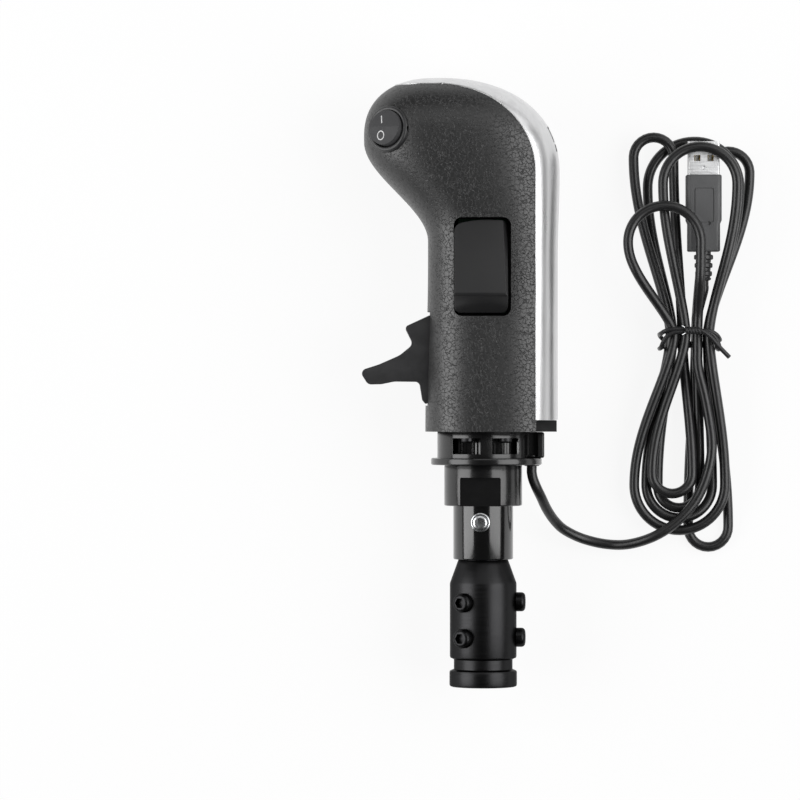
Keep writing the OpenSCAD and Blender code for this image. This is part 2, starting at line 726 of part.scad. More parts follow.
// The boards and switches
module main_board() {
    color("#1f5a35") difference() {
        translate([spine_x - board_t, rim_y + board_h0, -board_w / 2]) cube([board_t, board_h, board_w]);
        board_screw_places()
            cylinder(d = board_screw_d + 2 * thread_gap, h = 4 * board_t, center = true, $fn = 32);
    }
}
module board_screws() {
    color("#8d9096") board_screw_places()
        screw(board_screw_head_d, board_screw_head_h, board_screw_d, board_t + spine_t - past / 2,
              board_screw_d);
}
module microswitch() {
    translate([-micro.x / 2, -micro.y / 2, 0]) cube(micro);
    translate([0, 0, micro.z / 2]) cylinder(d = plunger_d, h = micro.z / 2 + plunger_h, $fn = 32);
}
module range_switch() {
    x1 = spine_x - board_t;
    color("#26272a") union() {
        translate([x1 - micro.x, range_micro_y, -micro.y / 2]) cube([micro.x, micro.z, micro.y]);
        translate([x1 - micro.x + plunger_d, range_micro_y + micro.z / 2, 0]) rotate([-90, 0, 0])
            cylinder(d = plunger_d, h = micro.z / 2 + plunger_h, $fn = 32);
    }
}
module switch_board() {
    color("#1f5a35") difference() {
        translate([-shelf_front, window_lo + past, shelf_z + shelf_t])
            cube([2 * shelf_front - past, window_h - 2 * past, board_t]);
        translate([0, window_mid, switch_z])
            cube([rocker_pin_l + 2 * lug_gap, lug_d + 2 * lug_gap, 4 * board_t], center = true);
    }
}
module side_switches() {
    color("#26272a") for (y = [cap_lo + cap_wall + micro_inset, cap_hi - cap_wall - micro_inset])
        translate([0, y, switch_z]) microswitch();
}

// The range lever on the grip's front
module range_lever() {
    tip = [-finger_x + finger_r, rim_y + finger_h];
    hub = [-lever_pin_x, lever_pin_y];
    color("#1d1e20") difference() {
        linear_extrude(lever_w, center = true) union() {
            polygon(concat(
                [[-root_x[1], root_hi]],
                [for (q = [shoulder, notch]) [-q.x, root_hi - q.y]],
                [tip + [0, finger_r], tip - [0, finger_r]],
                [for (q = [heel, throat, ankle]) [-q.x, root_lo + q.y]],
                [[-root_x[0], root_lo], [-root_back.x, root_lo + root_back.y], hub - [0, lever_hub_d / 2]],
                [hub + toe[0], hub + toe[1], hub + [0, lever_hub_d / 2], [-root_back.x, root_hi - edge]]));
            translate(tip) circle(finger_r, $fn = 48);
            translate(hub) circle(d = lever_hub_d, $fn = 64);
        }
        translate([-lever_pin_x, lever_pin_y, 0])
            cylinder(d = lever_pin_d + 2 * pin_gap, h = 2 * lever_w, center = true, $fn = 48);
    }
}
module range_lever_pin() {
    color("#b9bcc1") translate([-lever_pin_x, lever_pin_y, 0])
        cylinder(d = lever_pin_d, h = 2 * (cheek_z + cheek_t), center = true, $fn = 48);
}

// The rocker on the grip's left side, its upper end pressed
module side_rocker() {
    mid = (cap_lo + cap_hi) / 2;
    color("#17181a") difference() {
        union() {
            difference() {
                intersection() {
                    across(cap_w) polygon([
                        [cap_hi, face_z - cap_skirt], [cap_hi, face_z - cap_sunk],
                        [ridge_y, face_z + rocker_proud], [cap_lo, face_z], [cap_lo, face_z - cap_skirt]]);
                    translate([0, mid, 0]) linear_extrude(4 * face_z)
                        rounded_rect(cap_w, cap_hi - cap_lo, window_r - rocker_gap);
                }
                translate([-cap_w / 2 + cap_wall, cap_lo + cap_wall, face_z - cap_skirt - past])
                    cube([cap_w - 2 * cap_wall, cap_hi - cap_lo - 2 * cap_wall, cap_skirt - cap_roof + past]);
            }
            translate([0, window_mid, pin_z]) rotate([0, 90, 0])
                cylinder(d = lug_d, h = hub_w, center = true, $fn = 48);
            translate([-hub_w / 2, window_mid - lug_d / 2, pin_z])
                cube([hub_w, lug_d, face_z - cap_roof / 2 - pin_z]);
        }
        translate([0, window_mid, pin_z]) rotate([0, 90, 0])
            cylinder(d = rocker_pin_d + 2 * pin_gap, h = 2 * hub_w, center = true, $fn = 48);
    }
}
module side_rocker_pin() {
    color("#b9bcc1") translate([0, window_mid, pin_z]) rotate([0, 90, 0])
        cylinder(d = rocker_pin_d, h = rocker_pin_l, center = true, $fn = 48);
}

// The round rocker on the nose, its upper half pressed
module rocker_housing() {
    pocket = button_d + 2 * button_gap;
    color("#2b2c2e") round_place() difference() {
        union() {
            translate([0, 0, -housing_depth])
                cylinder(d = housing_d, h = housing_depth + bezel_t / 2, $fn = 64);
            cylinder(d = bezel_d, h = bezel_t, $fn = 64);
        }
        translate([0, 0, button_c - pocket / 2]) cylinder(d = pocket, h = housing_depth, $fn = 64);
        translate([0, 0, button_c]) rotate([0, 90, 0])
            cylinder(d = trunnion_d + 2 * pin_gap, h = 2 * bezel_d, center = true, $fn = 32);
    }
}
module rocker_button() {
    lean = button_travel / 2;
    color("#2f3033") round_place() translate([0, 0, button_c]) rotate([-lean, 0, 0]) union() {
        intersection() {
            union() {
                sphere(d = button_d, $fn = 96);
                cylinder(d = button_d, h = button_top, $fn = 96);
            }
            across(2 * button_d) polygon([
                [-button_d, -button_floor], [button_d, -button_floor],
                [button_d, button_top - button_d * tan(lean)], [0, button_top],
                [-button_d, button_top - button_d * tan(lean)]]);
        }
        rotate([0, 90, 0]) cylinder(d = trunnion_d, h = housing_d - seat_gap, center = true, $fn = 32);
    }
}
module rocker_terminals() {
    color("#c3a35a") round_place() for (side = [-1, 1])
        translate([0, side * blade_step / 2, -housing_depth - blade.z / 2]) cube(blade, center = true);
}

// The cord: its lead, its hank and its tail
module cord_lead() {
    color("#141416") ringed(tube_rings(through(on_table(lead_route), 2), cord_d, 8));
}
module cord_hank() {
    color("#141416") ringed(tube_rings(hank_path(loop_rings), cord_d, 6));
}
module cord_tail() {
    color("#141416") ringed(tube_rings(through(on_table(tail_route), 2), cord_d, 8));
}
module twist_tie() {
    turns = [for (k = [0:tie_steps * tie_wraps]) tie_point(360 * k / tie_steps)];
    color("#0d0d0e") ringed(tube_rings(concat(turns, on_table(tie_tail)), tie_d, 6));
}

// The plug at the cord's end
module at_plug(y) {
    translate([plug_x, y, plug_z]) rotate([-90, 0, 0]) children();
}
relief_ribs = 3;
relief_rib_d = 7.4;
module plug_relief() {
    step = relief_l / (2 * relief_ribs);
    color("#1a1a1c") at_plug(plug_y0) union() {
        cylinder(d = relief_d, h = relief_l, $fn = 48);
        for (k = [0:relief_ribs - 1])
            translate([0, 0, (2 * k + 1) * step]) cylinder(d = relief_rib_d, h = step, $fn = 48);
    }
}
overmould_r = 1.5;
module plug_overmould() {
    color("#3b3c3f") at_plug(overmould_y) linear_extrude(overmould_l)
        rounded_rect(overmould_w, overmould_t, overmould_r);
}
latch = 2.3;
latch_step = 5;
latch_h = 6.3;
module plug_shell() {
    color("#cfd2d6") at_plug(plug_y1) difference() {
        translate([-plug_w / 2, -plug_t / 2, 0]) cube([plug_w, plug_t, plug_l]);
        translate([-plug_w / 2 + plug_sheet, -plug_t / 2 + plug_sheet, -past])
            cube([plug_w - 2 * plug_sheet, plug_t - 2 * plug_sheet, plug_l + 2 * past]);
        for (side = [-1, 1])
            translate([side * latch_step / 2, 0, latch_h]) cube([latch, 2 * plug_t, latch], center = true);
    }
}
module plug_tongue() {
    color("#e8e8ea") at_plug(plug_y1) translate([-tongue.x / 2, tongue_drop - tongue.z / 2, 0])
        cube([tongue.x, tongue.z, tongue.y]);
}
module plug_contacts() {
    color("#c9a24b") at_plug(plug_y1) for (k = [-1.5:1.5])
        translate([k * contact_step - contact.x / 2, tongue_drop - tongue.z / 2 - contact.z,
                   tongue.y - contact.y - past])
            cube([contact.x, contact.z, contact.y]);
}

adapter_sleeve();
adapter_screws();
socket_tube();
tube_screw();
locking_collar();
base_flange();
cord_gland();
base_screws();
grip_core();
grip_shell();
rear_cover();
cover_screws();
main_board();
board_screws();
range_switch();
range_lever();
range_lever_pin();
switch_board();
side_switches();
side_rocker();
side_rocker_pin();
rocker_housing();
rocker_button();
rocker_terminals();
cord_lead();
cord_hank();
cord_tail();
twist_tie();
plug_relief();
plug_overmould();
plug_shell();
plug_tongue();
plug_contacts();
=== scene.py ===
from math import atan2, copysign, cos, pi, radians, sin
import bmesh
import bpy
from mathutils import Matrix, Vector


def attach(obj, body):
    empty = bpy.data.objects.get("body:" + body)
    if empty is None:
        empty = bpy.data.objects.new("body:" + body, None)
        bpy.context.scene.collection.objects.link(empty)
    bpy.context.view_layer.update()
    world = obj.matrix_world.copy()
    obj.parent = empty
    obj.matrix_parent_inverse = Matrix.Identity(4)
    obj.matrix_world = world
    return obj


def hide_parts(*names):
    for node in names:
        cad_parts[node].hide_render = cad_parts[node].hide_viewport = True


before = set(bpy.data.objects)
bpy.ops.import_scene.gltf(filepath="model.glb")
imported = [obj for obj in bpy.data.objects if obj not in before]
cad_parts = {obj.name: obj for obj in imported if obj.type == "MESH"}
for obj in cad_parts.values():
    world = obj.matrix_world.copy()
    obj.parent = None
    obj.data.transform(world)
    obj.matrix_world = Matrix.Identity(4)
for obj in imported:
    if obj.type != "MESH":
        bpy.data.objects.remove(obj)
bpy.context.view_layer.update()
scene = bpy.context.scene
scene.view_settings.view_transform = "Standard"
mm = 0.001
print("frame loaded,", len(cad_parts), "nodes")

# the camera hangs straight over the table, with a long lens
shot = {"centre": (-31.2, 107.4), "width": 300, "height": 1600, "sensor": 36}
cameraData = bpy.data.cameras.new("camera")
cameraData.sensor_width = shot["sensor"]
cameraData.lens = shot["sensor"] * shot["height"] / shot["width"]
cameraData.clip_end = 20
camera = bpy.data.objects.new("camera", cameraData)
camera.location = (shot["centre"][0] * mm, shot["centre"][1] * mm, shot["height"] * mm)
scene.collection.objects.link(camera)
scene.camera = camera


# a node tree starts with the shader and its object coordinates
def newMaterial(name, colour, roughness, metallic=0.0, coat=0.0, specular=0.5):
    mat = bpy.data.materials.new(name)
    mat.use_nodes = True
    tree = mat.node_tree
    shader = tree.nodes["Principled BSDF"]
    for socket, value in (("Base Color", (*colour, 1)), ("Roughness", roughness), ("Metallic", metallic),
                          ("Coat Weight", coat), ("Coat Roughness", 0.08), ("Specular IOR Level", specular)):
        shader.inputs[socket].default_value = value
    return mat, tree, shader, addNode(tree, "TexCoord", {}, "Object")


# one node: what comes from another node is linked, the rest is set on its sockets
def addNode(tree, kind, sockets, out, **traits):
    node = tree.nodes.new("ShaderNode" + kind)
    for name, value in traits.items():
        setattr(node, name, value)
    for socket, value in sockets.items():
        if isinstance(value, bpy.types.NodeSocket):
            tree.links.new(value, node.inputs[socket])
        else:
            node.inputs[socket].default_value = value
    return node.outputs[out]


def addNoise(tree, place, scale, detail=3.0, stretch=(1, 1, 1)):
    spread = addNode(tree, "Mapping", {"Vector": place, "Scale": stretch}, "Vector")
    return addNode(tree, "TexNoise", {"Vector": spread, "Scale": scale, "Detail": detail}, "Fac")


def addRange(tree, value, low, high, toLow, toHigh):
    return addNode(tree, "MapRange", {"Value": value, "From Min": low, "From Max": high, "To Min": toLow,
                                      "To Max": toHigh}, "Result")


def addMath(tree, operation, *values, clamp=False):
    return addNode(tree, "Math", dict(enumerate(values)), "Value", operation=operation, use_clamp=clamp)


def addTint(tree, shader, value, dark, light):
    ramp = tree.nodes.new("ShaderNodeValToRGB")
    ramp.color_ramp.elements[0].color = (*dark, 1)
    ramp.color_ramp.elements[1].color = (*light, 1)
    tree.links.new(value, ramp.inputs["Fac"])
    tree.links.new(ramp.outputs["Color"], shader.inputs["Base Color"])


def addBump(tree, shader, height, depth):
    bump = addNode(tree, "Bump", {"Height": height, "Distance": depth * mm, "Strength": 1}, "Normal")
    tree.links.new(bump, shader.inputs["Normal"])


# moulded and painted surfaces: a slight mottle, an uneven gloss and a fine texture in the skin
def mouldedMaterial(name, colour, roughness, grain=900, depth=0.02, mottle=0.12, coat=0.0, specular=0.5):
    mat, tree, shader, place = newMaterial(name, colour, roughness, coat=coat, specular=specular)
    broad = addNoise(tree, place, 60, 4)
    fine = addNoise(tree, place, grain, 3)
    addTint(tree, shader, broad, [c * (1 - mottle) for c in colour], [c * (1 + mottle) for c in colour])
    rough = addRange(tree, addNoise(tree, place, 240, 5), 0.3, 0.7, roughness * 0.85, roughness * 1.15)
    tree.links.new(rough, shader.inputs["Roughness"])
    addBump(tree, shader, fine, depth)
    return mat


# metal with a fine brushed or turned grain, stretched along one axis
def metalMaterial(name, colour, roughness, stretch=(1, 1, 1), grain=500, depth=0.006, edge=1.0):
    mat, tree, shader, place = newMaterial(name, colour, roughness, metallic=1.0)
    shader.inputs["Specular Tint"].default_value = (edge, edge, edge, 1)
    brushed = addNoise(tree, place, grain, 4, stretch)
    addTint(tree, shader, brushed, [c * 0.86 for c in colour], [min(1, c * 1.08) for c in colour])
    rough = addRange(tree, brushed, 0.3, 0.7, roughness * 0.8, roughness * 1.2)
    tree.links.new(rough, shader.inputs["Roughness"])
    addBump(tree, shader, brushed, depth)
    return mat


# a bmesh becomes a piece that rides on a body and stands for its nodes
def addPiece(bm, name, material, body="handle", stands=(), sharp=35):
    bmesh.ops.remove_doubles(bm, verts=bm.verts, dist=0.002 * mm)
    bmesh.ops.recalc_face_normals(bm, faces=bm.faces)
    mesh = bpy.data.meshes.new(name)
    bm.to_mesh(mesh)
    bm.free()
    mesh.shade_smooth()
    mesh.set_sharp_from_angle(angle=radians(sharp))
    mesh.materials.append(material)
    piece = bpy.data.objects.new(name, mesh)
    scene.collection.objects.link(piece)
    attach(piece, body)
    if stands:
        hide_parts(*stands)
    return piece


# two bmeshes are joined or cut through throwaway objects, and the second is used up
def carve(bm, tool, how="DIFFERENCE"):
    made = []
    for part in (bm, tool):
        bmesh.ops.recalc_face_normals(part, faces=part.faces)
        mesh = bpy.data.meshes.new("carving")
        part.to_mesh(mesh)
        part.free()
        made.append(bpy.data.objects.new("carving", mesh))
        scene.collection.objects.link(made[-1])
    cut = made[0].modifiers.new("cut", "BOOLEAN")
    cut.operation = how
    cut.object = made[1]
    cut.solver = "EXACT"
    whole = made[0].evaluated_get(bpy.context.evaluated_depsgraph_get())
    result = bmesh.new()
    result.from_mesh(whole.to_mesh())
    whole.to_mesh_clear()
    for thing in made:
        mesh = thing.data
        bpy.data.objects.remove(thing)
        bpy.data.meshes.remove(mesh)
    return result


def addTo(bm, other):
    mesh = bpy.data.meshes.new("joining")
    other.to_mesh(mesh)
    other.free()
    bm.from_mesh(mesh)
    bpy.data.meshes.remove(mesh)
    return bm


# a profile of (radius, height) points, spun about local z
def turned(profile, steps=72):
    bm = bmesh.new()
    verts = [bm.verts.new((r * mm, 0, h * mm)) for r, h in profile]
    edges = [bm.edges.new(pair) for pair in zip(verts, verts[1:])]
    bmesh.ops.spin(bm, geom=verts + edges, cent=(0, 0, 0), axis=(0, 0, 1), dvec=(0, 0, 0), angle=2 * pi,
                   steps=steps, use_merge=True)
    bmesh.ops.remove_doubles(bm, verts=bm.verts, dist=0.002 * mm)
    bmesh.ops.recalc_face_normals(bm, faces=bm.faces)
    return bm


# faces are drawn out by a move, and the new vertices and faces are given back
def drawOut(bm, faces, move):
    made = bmesh.ops.extrude_face_region(bm, geom=faces)["geom"]
    verts = [v for v in made if isinstance(v, bmesh.types.BMVert)]
    bmesh.ops.translate(bm, verts=verts, vec=Vector(move) * mm)
    return verts, [f for f in made if isinstance(f, bmesh.types.BMFace)]


# a flat outline of (x, y) points, drawn up along local z from low to high
def drawnUp(outline, low, high):
    bm = bmesh.new()
    face = bm.faces.new([bm.verts.new((x * mm, y * mm, low * mm)) for x, y in outline])
    drawOut(bm, [face], (0, 0, high - low))
    bmesh.ops.recalc_face_normals(bm, faces=bm.faces)
    return bm


def block(low, high):
    bm = bmesh.new()
    bmesh.ops.create_cube(bm, size=1)
    size = [(b - a) * mm for a, b in zip(low, high)]
    middle = [(a + b) / 2 * mm for a, b in zip(low, high)]
    bmesh.ops.transform(bm, matrix=Matrix.Translation(middle) @ Matrix.Diagonal((*size, 1)), verts=bm.verts)
    return bm


# edges that turn more than an angle are rounded
def soften(bm, radius, angle=30, segments=3, keep=None):
    sharpEdges = [e for e in bm.edges if len(e.link_faces) == 2 and e.calc_face_angle(0) > radians(angle)
                  and (keep is None or keep(e))]
    bmesh.ops.bevel(bm, geom=sharpEdges, offset=radius * mm, offset_type="OFFSET", affect="EDGES",
                    segments=segments, profile=0.5, material=-1, clamp_overlap=True)
    return bm


def roundedOutline(w, h, r, steps=8):
    corners = [(w / 2 - r, h / 2 - r, 0), (r - w / 2, h / 2 - r, 90), (r - w / 2, r - h / 2, 180),
               (w / 2 - r, r - h / 2, 270)]
    return [(x + r * cos(radians(a + 90 * k / steps)), y + r * sin(radians(a + 90 * k / steps)))
            for x, y, a in corners for k in range(steps + 1)]


def circle(radius, steps=48):
    return [(radius * cos(2 * pi * k / steps), radius * sin(2 * pi * k / steps)) for k in range(steps)]


# the lower and upper outside corners of a turned profile, rounded
def lowEdge(radius, height, edge):
    return [(radius - edge, height), (radius - edge * 0.3, height + edge * 0.3), (radius, height + edge)]


def highEdge(radius, height, edge):
    return [(radius, height - edge), (radius - edge * 0.3, height - edge * 0.3), (radius - edge, height)]


def ringOf(outer, inner, low, high, edge):
    return turned([(inner + edge, low), *lowEdge(outer, low, edge), *highEdge(outer, high, edge), (inner + edge, high),
                   (inner, high - edge), (inner, low + edge), (inner + edge, low)], 128)


# a ring with a square section
def squareRing(inner, outer, low, high, steps):
    return turned([(inner, low), (outer, low), (outer, high), (inner, high), (inner, low)], steps)


def pegAt(radius, low, high, steps=32):
    return turned([(0, low), (radius, low), (radius, high), (0, high)], steps)


# places: a point in mm, a turn in degrees, local z along the lever, and local z square to the lever's axis
def at(x=0, y=0, z=0):
    return Matrix.Translation((x * mm, y * mm, z * mm))


def turnAbout(axis, degrees):
    return Matrix.Rotation(radians(degrees), 4, axis)


def alongLever(y=0, x=0, z=0):
    return at(x, y, z) @ turnAbout("X", -90)


def outOfAxis(y, turn):
    return at(0, y) @ turnAbout("Y", turn)


def put(bm, matrix):
    bmesh.ops.transform(bm, matrix=matrix, verts=bm.verts)
    return bm


# cord: a lead from the gland, a hank held by a twist tie, and a tail into the plug; heights are over the table.
# each strand has its place and layer at the waist; each half loop has its reach, its sides, its rise, and where it
# changes layer
cordLay = {
    "diameter": 3.8, "table": -25, "hank": (79, 132), "pitch": 4.4, "strandHeight": 2, "tieRoom": 2,
    "strands": [(0.5, 2), (-1.5, 2), (1.5, 2), (-0.5, 2), (-0.75, 1), (-1.75, 1), (1.5, 0), (0.5, 0), (1.5, 1),
                (-1.5, 0), (0.5, 1)],
    "halfLoops": [(48.5, 3, -24.4, 9.2, 0.5, 1), (74, -21.4, 13, -4.4, 0, 1), (71, 17, -11, 5, 0, 1),
                  (60, -14.8, 0.4, 0, 0.5, 0.9), (75, -6.4, -21.6, 0, 0, 1), (69.4, -16.8, 8.4, 0, 0.47, 0.8),
                  (70, 22.8, 6.4, 0, 0, 1), (80.5, -0.6, 14.6, 0, 0.5, 1), (73.6, 18.6, -16, 0, 0.445, 0.535),
                  (65.5, -12.3, 3.5, 0, 0.25, 0.5)],
    "riseStarts": (0.03, 0), "riseRuns": (0.2, 0.5), "loopSteps": 96, "routeSteps": 8,
    "lead": [(18.2, 82.6, 25), (18.2, 81.5, 25), (18.2, 80.3, 25), (18.7, 77.8, 24.8), (19.9, 74.8, 24),
             (21.7, 71.2, 21.4), (24.3, 66, 16.2), (27.6, 61.4, 11), (31.6, 57.9, 7.4), (38.6, 54.6, 4.3),
             (47.5, 52.6, 4), (56, 52.8, 7), (65.4, 56, 10.6), (74, 61.8, 11.2), (80.8, 69.6, 11), (85.2, 80, 11),
             (86.8, 91, 11), (84.6, 106, 12), (81.8, 117.6, 12.8), (81.2, 122.2, 12.8), (81.2, 125.2, 12.8),
             (81.2, 128.2, 12.8)],
    "tail": [(81.2, 135.8, 8.4), (81.2, 137.4, 8.4), (81.2, 139, 8.4), (82.4, 144, 9.8), (83.6, 149, 11.3),
             (83.6, 150.8, 11.3), (83.6, 152.5, 11.3)],
}


def smooth(t):
    c = max(0, min(1, t))
    return c * c * (3 - 2 * c)


# one half of a hank's turn: a run that parts from the waist, a round fold, and a run back
def halfLoop(h, u):
    reach, side, otherSide, rise, start, end = cordLay["halfLoops"][h]
    (a, layerA), (b, layerB) = cordLay["strands"][h:h + 2]
    fold, pitch = (side - otherSide) / 2, cordLay["pitch"]
    run = reach - abs(fold)
    runPart = run / (2 * run + pi * abs(fold))
    t = min(u, 1 - u) / runPart
    if t < 1:
        foot, out = (a * pitch, side) if u < 0.5 else (b * pitch, otherSide)
        across, along = foot + (out - foot) * sin(pi / 2 * t) ** 1.5, run * t
    else:
        turn = pi * (u - runPart) / (1 - 2 * runPart)
        across, along = (side + otherSide) / 2 + fold * cos(turn), run + abs(fold) * sin(turn)
    layer = layerA + (layerB - layerA) * smooth((u - start) / (end - start))
    lift = rise * smooth((min(u, 1 - u) - cordLay["riseStarts"][h % 2]) / cordLay["riseRuns"][h % 2])
    height = cordLay["strandHeight"] + layer * pitch + lift + cordLay["tieRoom"] * cos(pi * u) ** 8
    return Vector((cordLay["hank"][0] + across, cordLay["hank"][1] + (along if h % 2 == 0 else -along),
                   cordLay["table"] + height))


# a smooth curve through a route's points
def through(points, steps):
    points = [Vector(p) for p in points]
    ends = [2 * points[0] - points[1]] + points + [2 * points[-1] - points[-2]]
    line = []
    for p0, p1, p2, p3 in zip(ends, ends[1:], ends[2:], ends[3:]):
        for k in range(steps):
            t = k / steps
            line.append((2 * p1 + (p2 - p0) * t + (2 * p0 - 5 * p1 + 4 * p2 - p3) * t * t
                         + (3 * p1 - p0 - 3 * p2 + p3) * t ** 3) / 2)
    return line + [points[-1]]


def onTable(route):
    return [(x, y, z + cordLay["table"]) for x, y, z in route]


# a round line through points, as one open spline
def strand(name, points, diameter, material, sides=6):
    curve = bpy.data.curves.new(name, "CURVE")
    curve.dimensions = "3D"
    curve.bevel_depth = diameter / 2 * mm
    curve.bevel_resolution = sides
    curve.use_fill_caps = True
    line = curve.splines.new("POLY")
    line.points.add(len(points) - 1)
    for spot, p in zip(line.points, points):
        spot.co = (*(p * mm), 1)
    line.use_smooth = True
    curve.materials.append(material)
    piece = bpy.data.objects.new(name, curve)
    scene.collection.objects.link(piece)
    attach(piece, "handle")
    return piece


cordPvc = mouldedMaterial("cordPvc", (0.011, 0.011, 0.0115), 0.34, grain=1400, depth=0.008, specular=0.55)
hankSteps = cordLay["loopSteps"]
cordLine = (through(onTable(cordLay["lead"]), cordLay["routeSteps"])
            + [halfLoop(h, k / hankSteps) for h in range(len(cordLay["halfLoops"])) for k in range(hankSteps)]
            + [halfLoop(len(cordLay["halfLoops"]) - 1, 1)]
            + through(onTable(cordLay["tail"]), cordLay["routeSteps"]))
cord = strand("cord", cordLine, cordLay["diameter"], cordPvc)
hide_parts("cord_lead", "cord_hank", "cord_tail")

# the tie goes twice round the hank from a knot on top, and its end lies over the strands
twistTie = {"half": (11.2, 7.65), "square": 0.35, "middle": (78.5, 8.6), "wire": 1.7, "steps": 48,
            "wraps": [(134.2, 132.4, 129, 126.6), (133.2, 126.9, 128, 130)],
            "end": [(78.6, 133.4, 17.0), (81.5, 133.8, 17.9), (85.5, 131.4, 17.6), (89.4, 127.2, 16.6),
                    (93.0, 123.6, 15.2)],
            "knot": (78.6, 133.6, 18.2), "knotTurns": 2.5, "knotLength": 5.5, "knotStart": 0.4, "knotRadius": 0.85,
            "knotWire": 1.15, "knotSteps": 40, "bareWire": 0.45}


# y runs through the top, left, bottom and right of a wrap, and back to the knot
def tieWrap(heights, knotY):
    keys = list(heights) + [knotY]
    line = []
    for k in range(twistTie["steps"]):
        turn = k / twistTie["steps"]
        i, t = int(turn * 4), smooth(turn * 4 - int(turn * 4))
        y = keys[i] + (keys[i + 1] - keys[i]) * t
        a = -2 * pi * turn
        across, up = [copysign(abs(f) ** twistTie["square"], f) for f in (sin(a), cos(a))]
        line.append(Vector((twistTie["middle"][0] + twistTie["half"][0] * across, y,
                            cordLay["table"] + twistTie["middle"][1] + twistTie["half"][1] * up)))
    return line


tiePvc = mouldedMaterial("tiePvc", (0.013, 0.013, 0.014), 0.42, grain=1500, depth=0.012)
tieWire = metalMaterial("tieWire", (0.72, 0.73, 0.74), 0.22, grain=900)
first, second = twistTie["wraps"]
tieLine = (tieWrap(first, second[0]) + tieWrap(second, twistTie["knot"][1])
           + through(onTable(twistTie["end"]), cordLay["routeSteps"]))
tie = strand("twistTie", tieLine, twistTie["wire"], tiePvc, 4)
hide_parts("twist_tie")
for side in (0, 1):  # the two ends twist round each other, and their wire is bare at the tips
    line = []
    for k in range(twistTie["knotSteps"] + 1):
        t = k / twistTie["knotSteps"]
        a = 2 * pi * twistTie["knotTurns"] * t + pi * side
        away = Vector((twistTie["knotLength"] * (t - twistTie["knotStart"]), twistTie["knotRadius"] * cos(a),
                       twistTie["knotRadius"] * sin(a)))
        line.append(Vector(onTable([twistTie["knot"]])[0]) + away)
    strand("tieKnot%d" % side, line, twistTie["knotWire"], tiePvc, 3)
    tip = [line[0] + Vector((-0.9 * k, (0.6 - 1.1 * side) * k, 0.35 * k)) for k in (0, 0.5, 1, 1.6)]
    strand("tieWireEnd%d" % side, tip, twistTie["bareWire"], tieWire, 3)

# plug: relief, overmould and steel shell, along +y from the cord's end
plug = {"x": 83.6, "z": -13.7, "reliefY": 152.5, "overmouldY": 163.5, "shellY": 192.5,
        "overmould": (13.4, 8, 29), "waist": 12.2, "waistLength": 10.4, "waistSlope": 1.4, "corner": 1.6,
        "shell": (12, 4.5, 12.6), "sheet": 0.3, "hole": 2.3, "holeStep": 5.0, "holeHeight": 6.3,
        "panel": (7.4, 13.2, 1.0), "panelY": 17.4, "panelLine": 0.32, "panelDepth": 0.3, "dimple": 1.5,
        "dimpleStep": 3.4, "dimpleY": 10.6, "edge": 0.55, "ribs": 3, "ribStart": 1.9, "ribStep": 3.1,
        "core": (2.55, 0.12), "rib": (3.2, 0.22), "reliefEnd": (2.8, 11), "shellCorners": (0.7, 0.45), "dentY": 2.6}


def plugRelief():
    ring = [(0, 0), (2.05, 0), (2.7, 0.35), (2.9, 0.9)]
    for k in range(plug["ribs"]):
        start = plug["ribStart"] + plug["ribStep"] * k
        core, rib = [first + more * k for first, more in (plug["core"], plug["rib"])]
        ring += [(core, start - 0.75), (core, start - 0.25), (rib - 0.2, start - 0.05), (rib, start + 0.2),
                 (rib, start + 1.4), (rib - 0.2, start + 1.65), (core, start + 1.8)]
    ring += [plug["reliefEnd"], (0, plug["reliefEnd"][1])]
    return put(turned(ring, 40), alongLever(plug["reliefY"], plug["x"], plug["z"]))


def plugOvermould():
    w, t, length = plug["overmould"]
    bm = drawnUp(roundedOutline(plug["waist"], t, plug["corner"]), 0, plug["waistLength"])
    top = max(bm.faces, key=lambda f: f.calc_center_median().z)
    straight = length - plug["waistLength"] - plug["waistSlope"]
    for step, scale in ((plug["waistSlope"], w / plug["waist"]), (straight, 1)):
        moved, faces = drawOut(bm, [top], (0, 0, step))
        bmesh.ops.scale(bm, verts=moved, vec=(scale, 1, 1))
        bmesh.ops.delete(bm, geom=[top], context="FACES_ONLY")
        top = faces[0]
    soften(bm, plug["edge"], angle=60)
    put(bm, alongLever(plug["overmouldY"], plug["x"], plug["z"]))
    (wide, tall, corner), line, face = plug["panel"], plug["panelLine"], plug["z"] + t / 2
    frameCut = carve(drawnUp(roundedOutline(wide, tall, corner), -plug["panelDepth"], 1),
                     drawnUp(roundedOutline(wide - 2 * line, tall - 2 * line, corner - line), -2, 2))
    bm = carve(bm, put(frameCut, at(plug["x"], plug["overmouldY"] + plug["panelY"], face)))
    for side in (-1, 1):
        dimple = turned([(0, -0.7), (plug["dimple"] / 2, -0.6), (plug["dimple"] / 2, 1), (0, 1)], 24)
        bm = carve(bm, put(dimple, at(plug["x"] + side * plug["dimpleStep"] / 2, plug["overmouldY"] + plug["dimpleY"],
                                      face)))
    return bm


def plugShell():
    (w, t, length), sheet, (outside, inside) = plug["shell"], plug["sheet"], plug["shellCorners"]
    bm = carve(drawnUp(roundedOutline(w, t, outside), 0, length),
               drawnUp(roundedOutline(w - 2 * sheet, t - 2 * sheet, inside), -1, length + 1))
    for side in (-1, 1):
        x, half = side * plug["holeStep"] / 2, plug["hole"] / 2
        bm = carve(bm, block((x - half, -t, plug["holeHeight"] - half), (x + half, t, plug["holeHeight"] + half)))
    dent = turned([(0, -0.28), (0.5, -0.2), (0.78, 0.12), (0.78, 1), (0, 1)], 24)
    bm = carve(bm, put(dent, at(0, -t / 2, plug["dentY"]) @ turnAbout("X", 90)))
    return put(bm, alongLever(plug["shellY"], plug["x"], plug["z"]))


